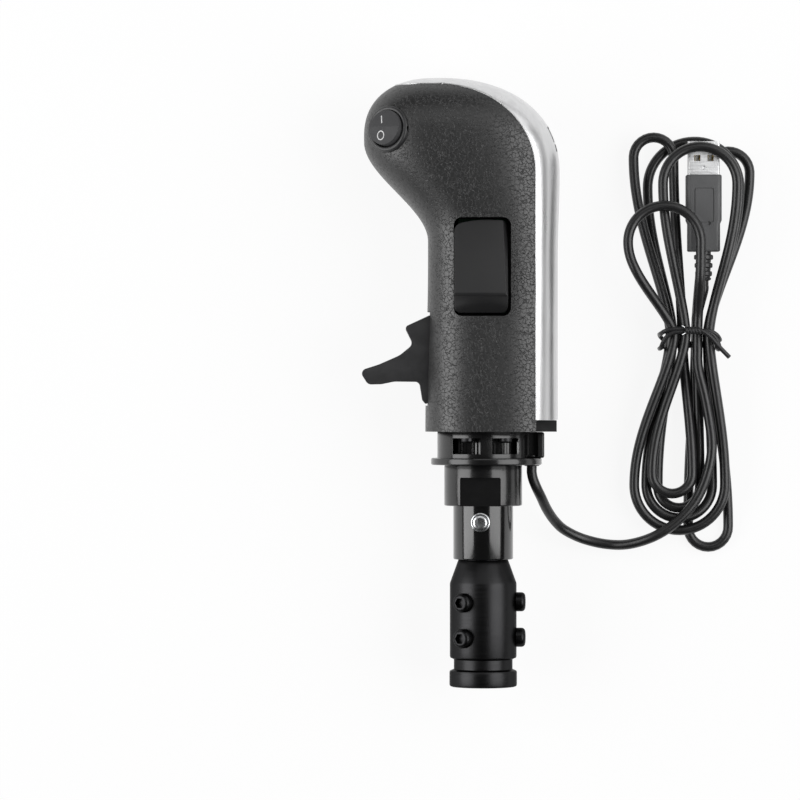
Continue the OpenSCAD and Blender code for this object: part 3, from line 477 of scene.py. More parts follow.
reliefPvc = mouldedMaterial("reliefPvc", (0.020, 0.020, 0.021), 0.4, depth=0.012)
overmouldPvc = mouldedMaterial("overmouldPvc", (0.085, 0.086, 0.088), 0.5, grain=2200, depth=0.02)
shellSteel = metalMaterial("shellSteel", (0.89, 0.895, 0.90), 0.47, stretch=(1, 12, 1), grain=160)
relief = addPiece(plugRelief(), "plugRelief", reliefPvc, stands=["plug_relief"])
overmould = addPiece(plugOvermould(), "plugOvermould", overmouldPvc, stands=["plug_overmould"])
steelShell = addPiece(plugShell(), "plugShell", shellSteel, stands=["plug_shell"])
print("plug and tie made")

# grip: sections from a rim up to a crown, cut along a seam into a grained shell and a silver cover
gripForm = {
    "rimY": 95.6, "shellWall": 2.4, "coverWall": 1.8, "frontRim": 21.7, "frontWaist": 20.7, "noseX": 44.7,
    "rearRim": 27.9, "rearHead": 28.6, "rimHalf": 24, "waistHalf": 21.5, "headHalf": 25, "waistH": 65, "neckH": 71.4,
    "neckTop": 108.4, "noseH": 110.4, "headH": 110, "roundH": 96.4, "crownH": 132.4, "crownX": 17.4, "square": 2.7,
    "nosePower": 2.3, "rearPower": 2.25, "headPower": 2.4, "seamX": 19.2, "seamLip": 3, "seamGap": 0.15,
    "coverH0": 4.4, "sides": 120, "stemLevels": 72, "domeLevels": 40,
}
g = gripForm


def flare(h):
    return 1 - smooth(h / g["waistH"])


def dome(h, start, inset, power):
    return max(0, 1 - (max(0, h - start) / (g["crownH"] - start - inset)) ** power) ** (1 / power)


# front, rear and half width of the grip at height h over its rim, drawn in by inset
def gripSpan(h, inset=0):
    if h < g["noseH"]:
        front = (inset - g["frontWaist"] - (g["frontRim"] - g["frontWaist"]) * flare(h)
                 - (g["noseX"] - g["frontWaist"]) * smooth((h - g["neckH"]) / (g["neckTop"] - g["neckH"])))
    else:
        front = -g["crownX"] - (g["noseX"] - g["crownX"] - inset) * dome(h, g["noseH"], inset, g["nosePower"])
    if h < g["roundH"]:
        bulge = smooth((h - g["waistH"]) / (g["roundH"] - g["waistH"]))
        rear = g["rearRim"] + (g["rearHead"] - g["rearRim"]) * bulge - inset
    else:
        rear = -g["crownX"] + (g["rearHead"] + g["crownX"] - inset) * dome(h, g["roundH"], inset, g["rearPower"])
    if h < g["headH"]:
        half = (g["waistHalf"] + (g["rimHalf"] - g["waistHalf"]) * flare(h)
                + (g["headHalf"] - g["waistHalf"]) * smooth((h - g["neckH"]) / (g["headH"] - g["neckH"])) - inset)
    else:
        half = (g["headHalf"] - inset) * dome(h, g["headH"], inset, g["headPower"])
    return front, rear, half


def signedPower(v, p):
    return copysign(abs(v) ** p, v)


# a grid is wrapped round the grip, its seam merged and its rim filled
def gripLoft(inset, start):
    stem = [start + (g["noseH"] - start) * k / g["stemLevels"] for k in range(g["stemLevels"])]
    top = g["crownH"] - inset
    heights = stem + [g["noseH"] + (top - g["noseH"]) * sin(pi / 2 * k / g["domeLevels"])
                      for k in range(g["domeLevels"] + 1)]
    bm = bmesh.new()
    bmesh.ops.create_grid(bm, x_segments=g["sides"], y_segments=len(heights) - 1, size=1)
    for v in bm.verts:
        a = pi * (v.co.x + 1)
        h = heights[round((v.co.y + 1) / 2 * (len(heights) - 1))]
        front, rear, half = gripSpan(h, inset)
        v.co = ((front + rear) / 2 * mm + (rear - front) / 2 * mm * signedPower(cos(a), 2 / g["square"]),
                (g["rimY"] + h) * mm, half * mm * signedPower(sin(a), 2 / g["square"]))
    bmesh.ops.remove_doubles(bm, verts=bm.verts, dist=0.004 * mm)
    bmesh.ops.holes_fill(bm, edges=[e for e in bm.edges if e.is_boundary], sides=0)
    bmesh.ops.recalc_face_normals(bm, faces=bm.faces)
    return bm


# the seam in the lever's plane, moved to the rear by shift
def seamLine(shift, steps=48):
    return [(-g["crownX"] + (g["seamX"] + g["crownX"] + shift) * cos(pi / 2 * k / steps),
             g["rimY"] + g["roundH"] + (g["crownH"] - g["roundH"] - g["seamLip"] + shift) * sin(pi / 2 * k / steps))
            for k in range(steps + 1)]


def beforeSeam(shift):
    low, far = g["rimY"] - 2, -2 * g["noseX"]
    return drawnUp([(far, low), (g["seamX"] + shift, low)] + seamLine(shift)
                   + [(far, g["rimY"] + g["crownH"] - g["seamLip"] + shift)], -60, 60)


# openings in the shell: the side rocker's window, the range lever's slot and the round rocker's seat
window = {"size": (21.2, 36.6), "corner": 3, "middle": (-0.7, 156.8),
          "slot": ((-101.4, 105.3, -9.6), (-12, 140.42, 9.6))}
roundRocker = {"place": (-35.1, 207.8, 17.9), "lean": 34, "tilt": 5, "bezel": 17.4, "bezelRise": 2, "housing": 15.4,
               "depth": 12, "ball": 13.2, "pocket": 13.9, "ballLift": 0.4, "ballTop": 3.6, "travel": 14, "room": 0.1,
               "pivotHole": 1.0, "pivot": (0.9, 7.6), "edge": 0.45, "ridge": 3.0}
roundPlace = (at(*roundRocker["place"]) @ turnAbout("Y", -roundRocker["lean"])
              @ turnAbout("X", -roundRocker["tilt"]))


def gripShell():
    bm = carve(gripLoft(0, 0), beforeSeam(0), "INTERSECT")
    bm = carve(bm, gripLoft(g["shellWall"], -1))
    opening = drawnUp(roundedOutline(*window["size"], window["corner"]), 0, 60)
    bm = carve(bm, put(opening, at(*window["middle"])))
    bm = carve(bm, block(*window["slot"]))
    room = roundRocker["room"]
    housing, bezel = [roundRocker[part] / 2 + room for part in ("housing", "bezel")]
    seat = turned([(0, -14), (housing, -14), (housing, -room), (bezel, -room), (bezel, 14), (0, 14)])
    return carve(bm, put(seat, roundPlace))


def rearCover():
    bm = carve(gripLoft(0, 0), gripLoft(g["coverWall"], -1))
    bm = carve(bm, beforeSeam(g["seamGap"]))
    return carve(bm, block((-60, g["rimY"] - 4, -60), (60, g["rimY"] + g["coverH0"], 60)))


# leather grain: domed cells parted by cracks that heal here and there, more so toward the nose side; the cracks carry
# painted shade in their grooves
grain = {"colour": (0.009, 0.009, 0.0092), "roughness": (0.54, 0.4), "specular": 0.8, "cells": (660, 1300),
         "wander": (760, 0.0019), "crackWidth": (0.012, 0.08), "healed": (700, 0.42, 0.62),
         "noseSide": (-0.024, -0.004), "broken": (-0.1, 0.44), "dome": 0.16, "tint": (0.4, 1.05), "depth": 0.12}


def grainedShell():
    colour, (crackRough, cellRough) = grain["colour"], grain["roughness"]
    mat, tree, shader, place = newMaterial("grainedShell", colour, cellRough, specular=grain["specular"])
    bend = addNode(tree, "TexNoise", {"Vector": place, "Scale": grain["wander"][0]}, "Color")
    warped = addNode(tree, "Mix", {"Factor": grain["wander"][1], 4: place, 5: bend}, 1, data_type="VECTOR")
    large, small = [addNode(tree, "TexVoronoi", {"Vector": warped, "Scale": scale}, "Distance",
                            feature="DISTANCE_TO_EDGE") for scale in grain["cells"]]
    scale, low, high = grain["healed"]
    across = addNode(tree, "SeparateXYZ", {"Vector": place}, "X")
    healed = addMath(tree, "SUBTRACT", addRange(tree, addNoise(tree, place, scale, 2), low, high, 0, 1),
                     addRange(tree, across, *grain["noseSide"], *grain["broken"]))
    crack = addMath(tree, "MAXIMUM", addRange(tree, large, *grain["crackWidth"], 0, 1), healed, clamp=True)
    skin = addMath(tree, "MULTIPLY_ADD", addRange(tree, small, 0, 0.5, 0, 1), grain["dome"], crack)
    # painted shade: the cracks' colour is darkened to 0.4 of the cells', standing in for shade in the grooves that the
    # bump cuts
    addTint(tree, shader, crack, *[[c * tint for c in colour] for tint in grain["tint"]])
    tree.links.new(addRange(tree, crack, 0, 1, crackRough, cellRough), shader.inputs["Roughness"])
    addBump(tree, shader, skin, grain["depth"])
    return mat


# plated cover with faint streaks along the lever
def silverCover():
    mat, tree, shader, place = newMaterial("silverCover", (0.69, 0.69, 0.695), 0.3, metallic=1.0)
    streaks = addNoise(tree, place, 520, 3, (1, 0.02, 1))
    addTint(tree, shader, streaks, (0.60, 0.60, 0.605), (0.78, 0.78, 0.785))
    rough = addRange(tree, addNoise(tree, place, 300, 4, (1, 0.05, 1)), 0.3, 0.7, 0.26, 0.36)
    tree.links.new(rough, shader.inputs["Roughness"])
    addBump(tree, shader, streaks, 0.006)
    return mat


shellGrain = grainedShell()
coverSilver = silverCover()
addPiece(gripShell(), "gripShell", shellGrain, stands=["grip_shell"])
addPiece(rearCover(), "rearCover", coverSilver, stands=["rear_cover"])
print("grip shell and rear cover made")


# the point on the grip's side at (x, y), on the side of the sign
def gripSide(x, y, sign, proud=0):
    front, rear, half = gripSpan(y - g["rimY"], -proud)
    across = min(1, abs((x - (front + rear) / 2) / max((rear - front) / 2, 0.01)))
    return Vector((x, y, sign * half * (1 - across ** g["square"]) ** (1 / g["square"])))


# bright lip: a bead along the seam, up one side, round the front of the crown and down the other
lip = {"bead": 0.7, "sunk": 0.1, "riseSteps": 32, "ringSteps": 40}


def lipLine():
    low = g["rimY"] + g["coverH0"]
    step = (g["roundH"] - g["coverH0"]) / lip["riseSteps"]
    rise = [(g["seamX"], low + k * step) for k in range(lip["riseSteps"])] + seamLine(0)[:-1]
    sides = [[gripSide(x, y, sign, -lip["sunk"]) for x, y in rise] for sign in (1, -1)]
    top = g["crownH"] - g["seamLip"]
    front, rear, half = gripSpan(top, lip["sunk"])
    ring = []
    for k in range(lip["ringSteps"] + 1):
        a = pi / 2 + pi * k / lip["ringSteps"]
        ring.append(Vector(((front + rear) / 2 + (rear - front) / 2 * signedPower(cos(a), 2 / g["square"]),
                            g["rimY"] + top, half * signedPower(sin(a), 2 / g["square"]))))
    return sides[0] + ring + sides[1][::-1]


lipBead = strand("coverLip", lipLine(), lip["bead"], coverSilver, 3)

# shift pattern printed on the cover's crown; across and up are in mm from its middle
pattern = {
    "turn": 27, "bow": 42, "aside": 1.5, "proud": 0.06, "line": 1.0, "lineStep": 1.2, "digit": 4.4,
    "ring": (2.1, 0.75), "ringAt": (10.2, 3.0),
    "lines": [((-9.8, -5.6), (-10.1, 0.5)), ((-10.1, 0.5), (-0.3, 2.9)), ((-0.3, 2.9), (8.0, 3.1)),
              ((-0.9, 6.7), (0.5, -1.6)), ((9.7, 6.7), (9.9, 5.1)), ((10.5, 1.1), (10.8, -1.4))],
    "digits": [("5", -2.3, 10.7), ("1", -1.8, 8.0), ("7", 8.0, 10.7), ("3", 9.2, 8.0), ("2", 0.9, -4.4),
               ("6", 1.3, -8.2), ("4", 11.4, -4.3), ("8", 11.8, -8.0), ("R", -8.8, -8.8)],
}


# flat work is bent onto the crown: across goes to -z, up goes round the crown
def ontoCrown(bm):
    for v in bm.verts:
        a = radians(pattern["turn"]) + v.co.y / mm / pattern["bow"]
        z, h = -v.co.x / mm - pattern["aside"], g["roundH"] + (g["crownH"] - g["roundH"]) * sin(a)
        front, rear, half = gripSpan(h)
        out = (1 - min(1, abs(z) / half) ** g["square"]) ** (1 / g["square"])
        x, lift = (front + rear) / 2 + (rear - front) / 2 * out, v.co.z / mm
        v.co = Vector((x + lift * cos(a), g["rimY"] + h + lift * sin(a), z)) * mm
    return bm


def textMesh(word, size, lift):
    text = bpy.data.curves.new("word", "FONT")
    text.body = word
    text.size = size * mm
    text.align_x, text.align_y = "CENTER", "CENTER"
    text.extrude = lift * mm
    text.offset = 0.02 * size * mm
    thing = bpy.data.objects.new("word", text)
    scene.collection.objects.link(thing)
    shape = thing.evaluated_get(bpy.context.evaluated_depsgraph_get())
    bm = bmesh.new()
    bm.from_mesh(shape.to_mesh())
    shape.to_mesh_clear()
    bpy.data.objects.remove(thing)
    bpy.data.curves.remove(text)
    return bm


def flatLine(a, b, width, lift):
    a, b = Vector(a), Vector(b)
    steps = max(2, round((b - a).length / pattern["lineStep"]))
    bm = bmesh.new()
    bmesh.ops.create_grid(bm, x_segments=steps, y_segments=1, size=0.5)
    turn = atan2(b.y - a.y, b.x - a.x)
    bmesh.ops.scale(bm, verts=bm.verts, vec=(((b - a).length + width * 0.9) * mm, width * mm, 1))
    put(bm, at(*((a + b) / 2), -lift) @ Matrix.Rotation(turn, 4, "Z"))
    drawOut(bm, bm.faces[:], (0, 0, 2 * lift))
    return bm


def shiftPattern():
    lift = pattern["proud"]
    bm = bmesh.new()
    for a, b in pattern["lines"]:
        addTo(bm, flatLine(a, b, pattern["line"], lift))
    radius, line = pattern["ring"]
    ring = squareRing(radius - line / 2, radius + line / 2, -lift, lift, 40)
    addTo(bm, put(ring, at(*pattern["ringAt"])))
    for word, x, y in pattern["digits"]:
        addTo(bm, put(textMesh(word, pattern["digit"], lift), at(x, y)))
    return ontoCrown(bm)


printGrey = mouldedMaterial("printGrey", (0.028, 0.028, 0.03), 0.5, grain=1600, depth=0.006)
addPiece(shiftPattern(), "shiftPattern", printGrey)
print("lip and shift pattern made")

# side rocker: a wedge cap with a ridge near its lower end, over a hollow, on a hub
rocker = {"width": 19.7, "x": -1.2, "low": 139.7, "high": 174.2, "corner": 2.2, "bow": (2.5, 0.5, 1.9),
          "bowAt": (6.3, 4.4, 2.5, 0.6, -1.3, -3.2, -5.1, -6.8), "skirt": 14, "topSunk": 20.5, "edge": 0.5,
          "ridge": (146.3, 28.5), "toe": 21.5, "wall": 1.6, "roof": 18.5, "pin": (157.4, 15), "hub": (6, 8, 3.1),
          "flank": (1.7, 0.7, 3.2)}


def cornered(corners, steps=6):
    outline = []
    for before, here, after in zip(corners[-1:] + corners, corners, corners[1:] + corners[:1]):
        spot, radius = Vector(here[:2]), here[2]
        if not radius:
            outline.append(tuple(spot))
            continue
        a, b = (Vector(before[:2]) - spot).normalized(), (Vector(after[:2]) - spot).normalized()
        half = a.angle(b) / 2
        centre = spot + (a + b).normalized() * radius / sin(half)
        start, end = [spot + side * radius * cos(half) / sin(half) - centre for side in (a, b)]
        turn = atan2(start.y, start.x)
        sweep = (atan2(end.y, end.x) - turn + pi) % (2 * pi) - pi
        angles = [turn + sweep * k / steps for k in range(steps + 1)]
        outline += [(centre.x + radius * cos(a), centre.y + radius * sin(a)) for a in angles]
    return outline


# local z to +x, with the outline's own axes to y and z
def acrossLever(outline, low, high):
    return put(drawnUp(outline, low, high), Matrix(((0, 0, 1, 0), (1, 0, 0, 0), (0, 1, 0, 0), (0, 0, 0, 1))))


# how far the cap's top edge falls off from its highest point
def topDrop(x):
    peak, right, left = rocker["bow"]
    reach = rocker["width"] / 2
    return right * ((x - peak) / (reach - peak)) ** 2 if x > peak else left * ((peak - x) / (reach + peak)) ** 2


def sideRocker():
    r = rocker
    length = r["high"] - r["low"]
    plan = [(x, y - topDrop(x) if y > 0 else y) for x, y in roundedOutline(r["width"], length, r["corner"])]
    top = [(x, length / 2 - topDrop(x)) for x in r["bowAt"]]
    bm = put(drawnUp(plan[:9] + top + plan[9:], r["skirt"], 40),
             at(r["x"], (r["low"] + r["high"]) / 2))
    profile = cornered([(r["high"] + 2, r["skirt"] - 1, 0), (r["high"] + 2, r["topSunk"] - 0.55, 0),
                        (*r["ridge"], 1.4), (r["low"] - 2, r["toe"] - 2.22, 0), (r["low"] - 2, r["skirt"] - 1, 0)])
    bm = carve(bm, acrossLever(profile, -30, 30), "INTERSECT")
    bmesh.ops.dissolve_limit(bm, angle_limit=radians(1), verts=bm.verts, edges=bm.edges)
    edge, (topIn, ridgeIn, drop) = r["x"] + r["width"] / 2, r["flank"]
    upper, ridge = Vector((edge - topIn, r["high"], r["topSunk"])), Vector((edge - ridgeIn, *r["ridge"]))
    across = Vector((topIn, 0, -drop)).cross(upper - ridge)
    cut = bmesh.ops.bisect_plane(bm, geom=bm.verts[:] + bm.edges[:] + bm.faces[:], dist=1e-7, plane_co=upper * mm,
                                 plane_no=across if across.x > 0 else -across, clear_outer=True)
    bmesh.ops.contextual_create(bm, geom=[e for e in cut["geom_cut"] if isinstance(e, bmesh.types.BMEdge)])
    bmesh.ops.recalc_face_normals(bm, faces=bm.faces)
    soften(bm, r["edge"], angle=40, keep=lambda e: min(v.co.z for v in e.verts) > (r["skirt"] + 3) * mm)
    half = r["width"] / 2 - r["wall"]
    bm = carve(bm, block((r["x"] - half, r["low"] + r["wall"], r["skirt"] - 1),
                         (r["x"] + half, r["high"] - 2 * r["wall"], r["roof"])))
    pinY, pinZ = r["pin"]
    outer, wide, bore = r["hub"]
    lug = carve(acrossLever(circle(outer / 2), -wide / 2, wide / 2),
                acrossLever([(-outer / 2, 0), (outer / 2, 0), (outer / 2, 5), (-outer / 2, 5)], -wide / 2, wide / 2),
                "UNION")
    bm = carve(bm, put(lug, at(0, pinY, pinZ)), "UNION")
    return carve(bm, put(acrossLever(circle(bore / 2), -9, 9), at(0, pinY, pinZ)))


# the cap is satin on its long face and glossier toward the lower facet
def rockerBlack():
    mat, tree, shader, place = newMaterial("rockerBlack", (0.017, 0.017, 0.0175), 0.3, specular=0.35)
    addTint(tree, shader, addNoise(tree, place, 80, 4), (0.015, 0.015, 0.0155), (0.021, 0.021, 0.0215))
    along = addNode(tree, "SeparateXYZ", {"Vector": place}, "Y")
    tree.links.new(addRange(tree, along, 0.143, 0.149, 0.2, 0.34), shader.inputs["Roughness"])
    addBump(tree, shader, addNoise(tree, place, 1500, 3), 0.004)
    return mat


rockerGloss = rockerBlack()
addPiece(sideRocker(), "sideRocker", rockerGloss, body="side_rocker", stands=["side_rocker"],
         sharp=40)
print("side rocker made")

# range lever: an outline in the lever's plane with rounded bends; each corner is x, y and its radius
rangeLever = {
    "half": 9, "edge": 1.0, "pin": (-12, 122), "bore": 4.1,
    "corners": [(-20.2, 139.0, 0.6), (-29.5, 134.7, 1.3), (-26.3, 128.2, 2.4), (-31.3, 124.1, 9), (-39.0, 120.7, 14),
                (-46.4, 118.3, 1.9), (-43.2, 113.2, 2.2), (-38.2, 113.3, 7), (-33.4, 114.3, 9), (-24.0, 114.2, 1.8),
                (-22.9, 107.4, 1.4), (-21.7, 105.9, 0.5), (-16.4, 107.6, 0), (-12, 114.8, 0), (-4, 113, 0),
                (-2, 116, 0), (-7.4, 126.6, 0), (-12, 128.5, 0), (-16, 137.6, 0.6)],
}


def leverMesh():
    bm = drawnUp(cornered(rangeLever["corners"], 8), -rangeLever["half"], rangeLever["half"])
    soften(bm, rangeLever["edge"], angle=60, segments=4,
           keep=lambda e: abs(e.verts[0].co.z - e.verts[1].co.z) < 0.1 * mm
           and max(v.co.x for v in e.verts) < -17 * mm)
    return carve(bm, put(pegAt(rangeLever["bore"] / 2, -12, 12, 48), at(*rangeLever["pin"])))


leverBlack = mouldedMaterial("leverBlack", (0.023, 0.023, 0.024), 0.42, grain=1300, depth=0.016)
addPiece(leverMesh(), "rangeLever", leverBlack, body="range_lever", stands=["range_lever"])


# round rocker: a bezel and housing, and a button with a roof face, lying with its upper half pressed
def roundHousing():
    s = roundRocker
    edge, pocket, floor = s["bezel"] / 2, s["pocket"] / 2, s["ballLift"] - s["pocket"] / 2
    bm = turned([(0, -s["depth"]), (s["housing"] / 2, -s["depth"]), (s["housing"] / 2, 0), (edge, 0), (edge, 1.1),
                 (edge - 0.12, 1.5), (edge - 0.4, 1.82), (edge - 0.8, s["bezelRise"]), (pocket + 0.55, s["bezelRise"]),
                 (pocket + 0.2, 1.9), (pocket, 1.6), (pocket, floor), (0, floor)], 96)
    hole = put(pegAt(s["pivotHole"], -20, 20), at(0, 0, s["ballLift"]) @ turnAbout("Y", 90))
    return put(carve(bm, hole), roundPlace)


buttonPlace = roundPlace @ at(0, 0, roundRocker["ballLift"]) @ turnAbout("X", -roundRocker["travel"] / 2)


def roofHeight(y):
    return roundRocker["ballTop"] - abs(y) * sin(radians(roundRocker["travel"] / 2))


def roundButton():
    s = roundRocker
    r = s["ball"] / 2
    bowl = [(r * cos(pi / 2 * k / 24), -r * sin(pi / 2 * k / 24)) for k in range(24, -1, -1)]
    bm = turned(bowl + [(r, 6), (0, 6)], 96)
    roof = cornered([(-9, -3.5, 0), (9, -3.5, 0), (9, roofHeight(9), 0), (0, roofHeight(0), s["ridge"]),
                     (-9, roofHeight(9), 0)])
    bm = carve(bm, acrossLever(roof, -12, 12), "INTERSECT")
    bmesh.ops.dissolve_limit(bm, angle_limit=radians(0.5), verts=bm.verts, edges=bm.edges)
    soften(bm, s["edge"], angle=35, keep=lambda e: min(v.co.z for v in e.verts) > 0.5 * mm)
    radius, half = s["pivot"]
    trunnions = put(pegAt(radius, -half, half), turnAbout("Y", 90))
    return put(carve(bm, trunnions, "UNION"), buttonPlace)


# marks on the button: a bar on the pressed half and a ring on the other, a hair proud of the faces
buttonMarks = {"bar": (0.38, 3.1), "barAt": (-1.5, 2.9), "barTurn": 14, "ring": (1.4, 1.6), "ringLine": 0.25,
               "ringAt": (-1.1, -3.2), "proud": 0.05, "sunk": 0.25}


def buttonBar():
    (w, length), (x, y) = buttonMarks["bar"], buttonMarks["barAt"]
    bar = drawnUp(roundedOutline(w, length, 0.15), -buttonMarks["sunk"], buttonMarks["proud"])
    return put(bar, turnAbout("Z", buttonMarks["barTurn"])), x, y


def buttonRing():
    (across, up), line, (x, y) = buttonMarks["ring"], buttonMarks["ringLine"] / 2, buttonMarks["ringAt"]
    ring = squareRing(1 - line, 1 + line, -buttonMarks["sunk"], buttonMarks["proud"], 48)
    bmesh.ops.scale(ring, verts=ring.verts, vec=(across, up, 1))
    return ring, x, y


def onRoof(mark, x, y):
    slope = roundRocker["travel"] / 2 * (-1 if y > 0 else 1)
    return put(mark, buttonPlace @ at(x, y, roofHeight(y)) @ turnAbout("X", slope))


switchGrey = mouldedMaterial("switchGrey", (0.022, 0.022, 0.023), 0.42, grain=1500, depth=0.012)
buttonGrey = mouldedMaterial("buttonGrey", (0.058, 0.058, 0.06), 0.55, grain=1500, depth=0.008, specular=0.2)
markWhite = mouldedMaterial("markWhite", (0.66, 0.66, 0.66), 0.5, grain=1500, depth=0.006, mottle=0.05)
addPiece(roundHousing(), "roundHousing", switchGrey, stands=["rocker_housing"])
addPiece(roundButton(), "roundButton", buttonGrey, body="rocker_button", stands=["rocker_button"])
addPiece(onRoof(*buttonBar()), "markBar", markWhite, body="rocker_button")
addPiece(onRoof(*buttonRing()), "markRing", markWhite, body="rocker_button")
print("lever and round rocker made")

# adapter sleeve: lip, groove, body and taper, drilled for six clamp screws
adapter = {"bore": 8, "boreDepth": 40, "spigotBore": 6.5,
           "profile": [(11.85, 0), (12.45, 0.25), (12.65, 0.8), (12.65, 5.4), (12.45, 5.95), (11.85, 6.2), (11.0, 6.6),
                       (11.0, 10.2), (11.7, 10.6), (12.3, 10.85), (12.5, 11.4), (12.5, 38.6), (12.35, 39.2),
                       (9.45, 47.2), (9.2, 47.5), (8.5, 47.5), (8.5, 66.5)],
           "screwYs": (18.5, 31.8), "turns": (-35, 85, 205), "thread": 4, "head": (7.2, 3.3), "key": 3.6, "keyDepth": 2,
           "seat": 12.5, "screwLength": 4.2}


def adapterSleeve():
    a = adapter
    inside = [(a["spigotBore"], 66.5), (a["spigotBore"], a["boreDepth"]), (a["bore"], a["boreDepth"]), (a["bore"], 0.5),
              (a["bore"] + 0.5, 0)]
    bm = put(turned(a["profile"] + inside + a["profile"][:1], 128), alongLever())
    for y in a["screwYs"]:
        for turn in a["turns"]:
            bm = carve(bm, put(pegAt(a["thread"] / 2 + 0.05, 5, 20), outOfAxis(y, turn)))
    return bm


# a hexagon socket cut along local z
def keyed(bm, key, low, high):
    return carve(bm, drawnUp(circle(key / 1.732, 6), low, high))


# a socket head screw along local z, its head resting at height seat
def socketScrew(seat, length, thread, head, rise, key, keyDepth):
    r, fillet = head / 2, head * 0.2
    rounded = [(r - fillet * (1 - cos(a)), seat + rise - fillet * (1 - sin(a)))
               for a in (0, 0.31, 0.63, 0.94, 1.26, pi / 2)]
    bm = turned([(0, seat - length), (thread / 2 - 0.4, seat - length), (thread / 2, seat - length + 0.4),
                 (thread / 2, seat), (r, seat), *rounded, (0, seat + rise)], 64)
    return keyed(bm, key, seat + rise - keyDepth, seat + rise + 1)


def adapterScrews():
    a = adapter
    bm = bmesh.new()
    for y in a["screwYs"]:
        for turn in a["turns"]:
            screw = socketScrew(a["seat"], a["screwLength"], a["thread"], *a["head"], a["key"], a["keyDepth"])
            addTo(bm, put(screw, outOfAxis(y, turn)))
    return bm


anodised = metalMaterial("anodisedBlack", (0.030, 0.030, 0.031), 0.36, stretch=(1, 30, 1), grain=120, depth=0.004,
                         edge=0.5)
blackOxide = metalMaterial("blackOxide", (0.024, 0.024, 0.025), 0.36, grain=900, edge=0.6)
addPiece(adapterSleeve(), "adapterSleeve", anodised, stands=["adapter_sleeve"], sharp=25)
addPiece(adapterScrews(), "adapterScrews", blackOxide, stands=["adapter_screws"])
print("adapter made")

# base: tube, clamp screw, locking collar with its recess, flange with a windowed cage, cord gland, grip screws
base = {"liner": (12.7, 11.4, 0.3, 60), "tube": (11.25, 8.6, 6.5), "tubeY": (47.7, 66.7, 95.4), "screwY": 61.8,
        "turn": -6, "tubeScrewHole": 2.05, "baseScrew": (5.4, 2.4, 4.8, 1.8, 2.4, 0.9), "baseScrewHole": 1.3,
        "tubeScrew": (3.6, 2.75, 3.3, 3.1, 3.0),
        "collar": (14.6, 11.35), "collarY": (67.8, 83.1), "recess": (15.2, 10.7, 12.15),
        "flange": (20.75, 1.2), "flangeY": (83.1, 85.7), "cage": (17.2, 13.2), "cageY": (85.7, 95.6),
        "window": (0.85, 7.25, 10.3, 87.2, 93.2), "screwRing": 15.2, "screwTurns": (32, 148, 204, 336), "screwY0": 93.2,
        "gland": ((13.6, 85.7, -4.5), (22.8, 95.4, 4.5)), "channel": ((15, 86.2, 1.4), (20.4, 96, 6)),
        "snout": (18.2, 82.6, 86.7, 3.0)}


def socketTube():
    (outer, inner, wire), (low, middle, high) = base["tube"], base["tubeY"]
    bm = put(turned([(inner, low), *lowEdge(outer, low, 0.5), (outer, high), (wire, high), (wire, middle),
                     (inner, middle), (inner, low)], 128), alongLever())
    return carve(bm, put(pegAt(base["tubeScrewHole"], 4, 20), outOfAxis(base["screwY"], base["turn"])))


def lockingCollar():
    (outer, inner), (low, high) = base["collar"], base["collarY"]
    bm = put(ringOf(outer, inner, low, high, 0.5), alongLever())
    wide, tall, floor = base["recess"]
    notch = drawnUp(cornered([(-wide / 2, -2, 0), (wide / 2, -2, 0), (wide / 2, tall, 0.6), (-wide / 2, tall, 0.6)]),
                    floor, 20)
    return carve(bm, put(notch, outOfAxis(low, base["turn"])))


def screwSpots(spot):
    for turn in base["screwTurns"]:
        a = radians(turn)
        yield at(base["screwRing"] * sin(a), spot, base["screwRing"] * cos(a)) @ turnAbout("X", 90)


# a sleeve with fine ribs inside the cage, seen through its windows
def ribbedLiner():
    (outer, inner, rib, ribs), low, high = base["liner"], base["flangeY"][1] - 0.3, base["cageY"][1] - 1.6
    radii = [outer - rib * (k % 2) for k in range(2 * ribs)]
    sleeve = drawnUp([(r * cos(pi * k / ribs), r * sin(pi * k / ribs)) for k, r in enumerate(radii)], low, high)
    return put(carve(sleeve, pegAt(inner, low - 1, high + 1, 96)), alongLever())


def baseFlange():
    (radius, shift), (low, high) = base["flange"], base["flangeY"]
    plate = put(turned([(0, low), *lowEdge(radius, low, 0.5), *highEdge(radius, high, 0.5), (0, high)], 128),
                alongLever(0, shift))
    outer, inner = base["cage"]
    bm = carve(plate, put(ringOf(outer, inner, high - 0.6, base["cageY"][1], 0.2), alongLever()), "UNION")
    bm = carve(bm, put(pegAt(base["tube"][0] + 0.1, low - 1, high + 1, 96), alongLever()))
    middle, step, wide, y0, y1 = base["window"]
    for side in (-1, 1):
        x = middle + side * step
        bm = carve(bm, block((x - wide / 2, y0, 0), (x + wide / 2, y1, 40)))
        bm = carve(bm, block((x - wide / 2 + 0.6, y0, -40), (x + wide / 2 - 0.6, y1, 1)))
    bm = carve(bm, ribbedLiner(), "UNION")
    bm = carve(bm, put(pegAt(base["snout"][3] + 0.1, low - 1, high + 0.2), alongLever(0, base["snout"][0])))
    for spot in screwSpots(base["screwY0"]):
        bm = carve(bm, put(pegAt(base["baseScrewHole"], -8, 8), spot))
    return bm


def cordGland():
    x, low, high, radius = base["snout"]
    bm = carve(soften(block(*base["gland"]), 0.8, segments=4), block(*base["channel"]))
    snout = turned([(0, low), *lowEdge(radius, low, 0.6), (radius, high), (0, high)], 48)
    bm = carve(bm, put(snout, alongLever(0, x)), "UNION")
    return carve(bm, put(pegAt(base["cage"][0] + 0.1, base["cageY"][0] - 0.1, base["cageY"][1] + 1, 128), alongLever()))


def baseScrews():
    bm = bmesh.new()
    for spot in screwSpots(base["screwY0"]):
        addTo(bm, put(socketScrew(0, *base["baseScrew"]), spot))
    return bm


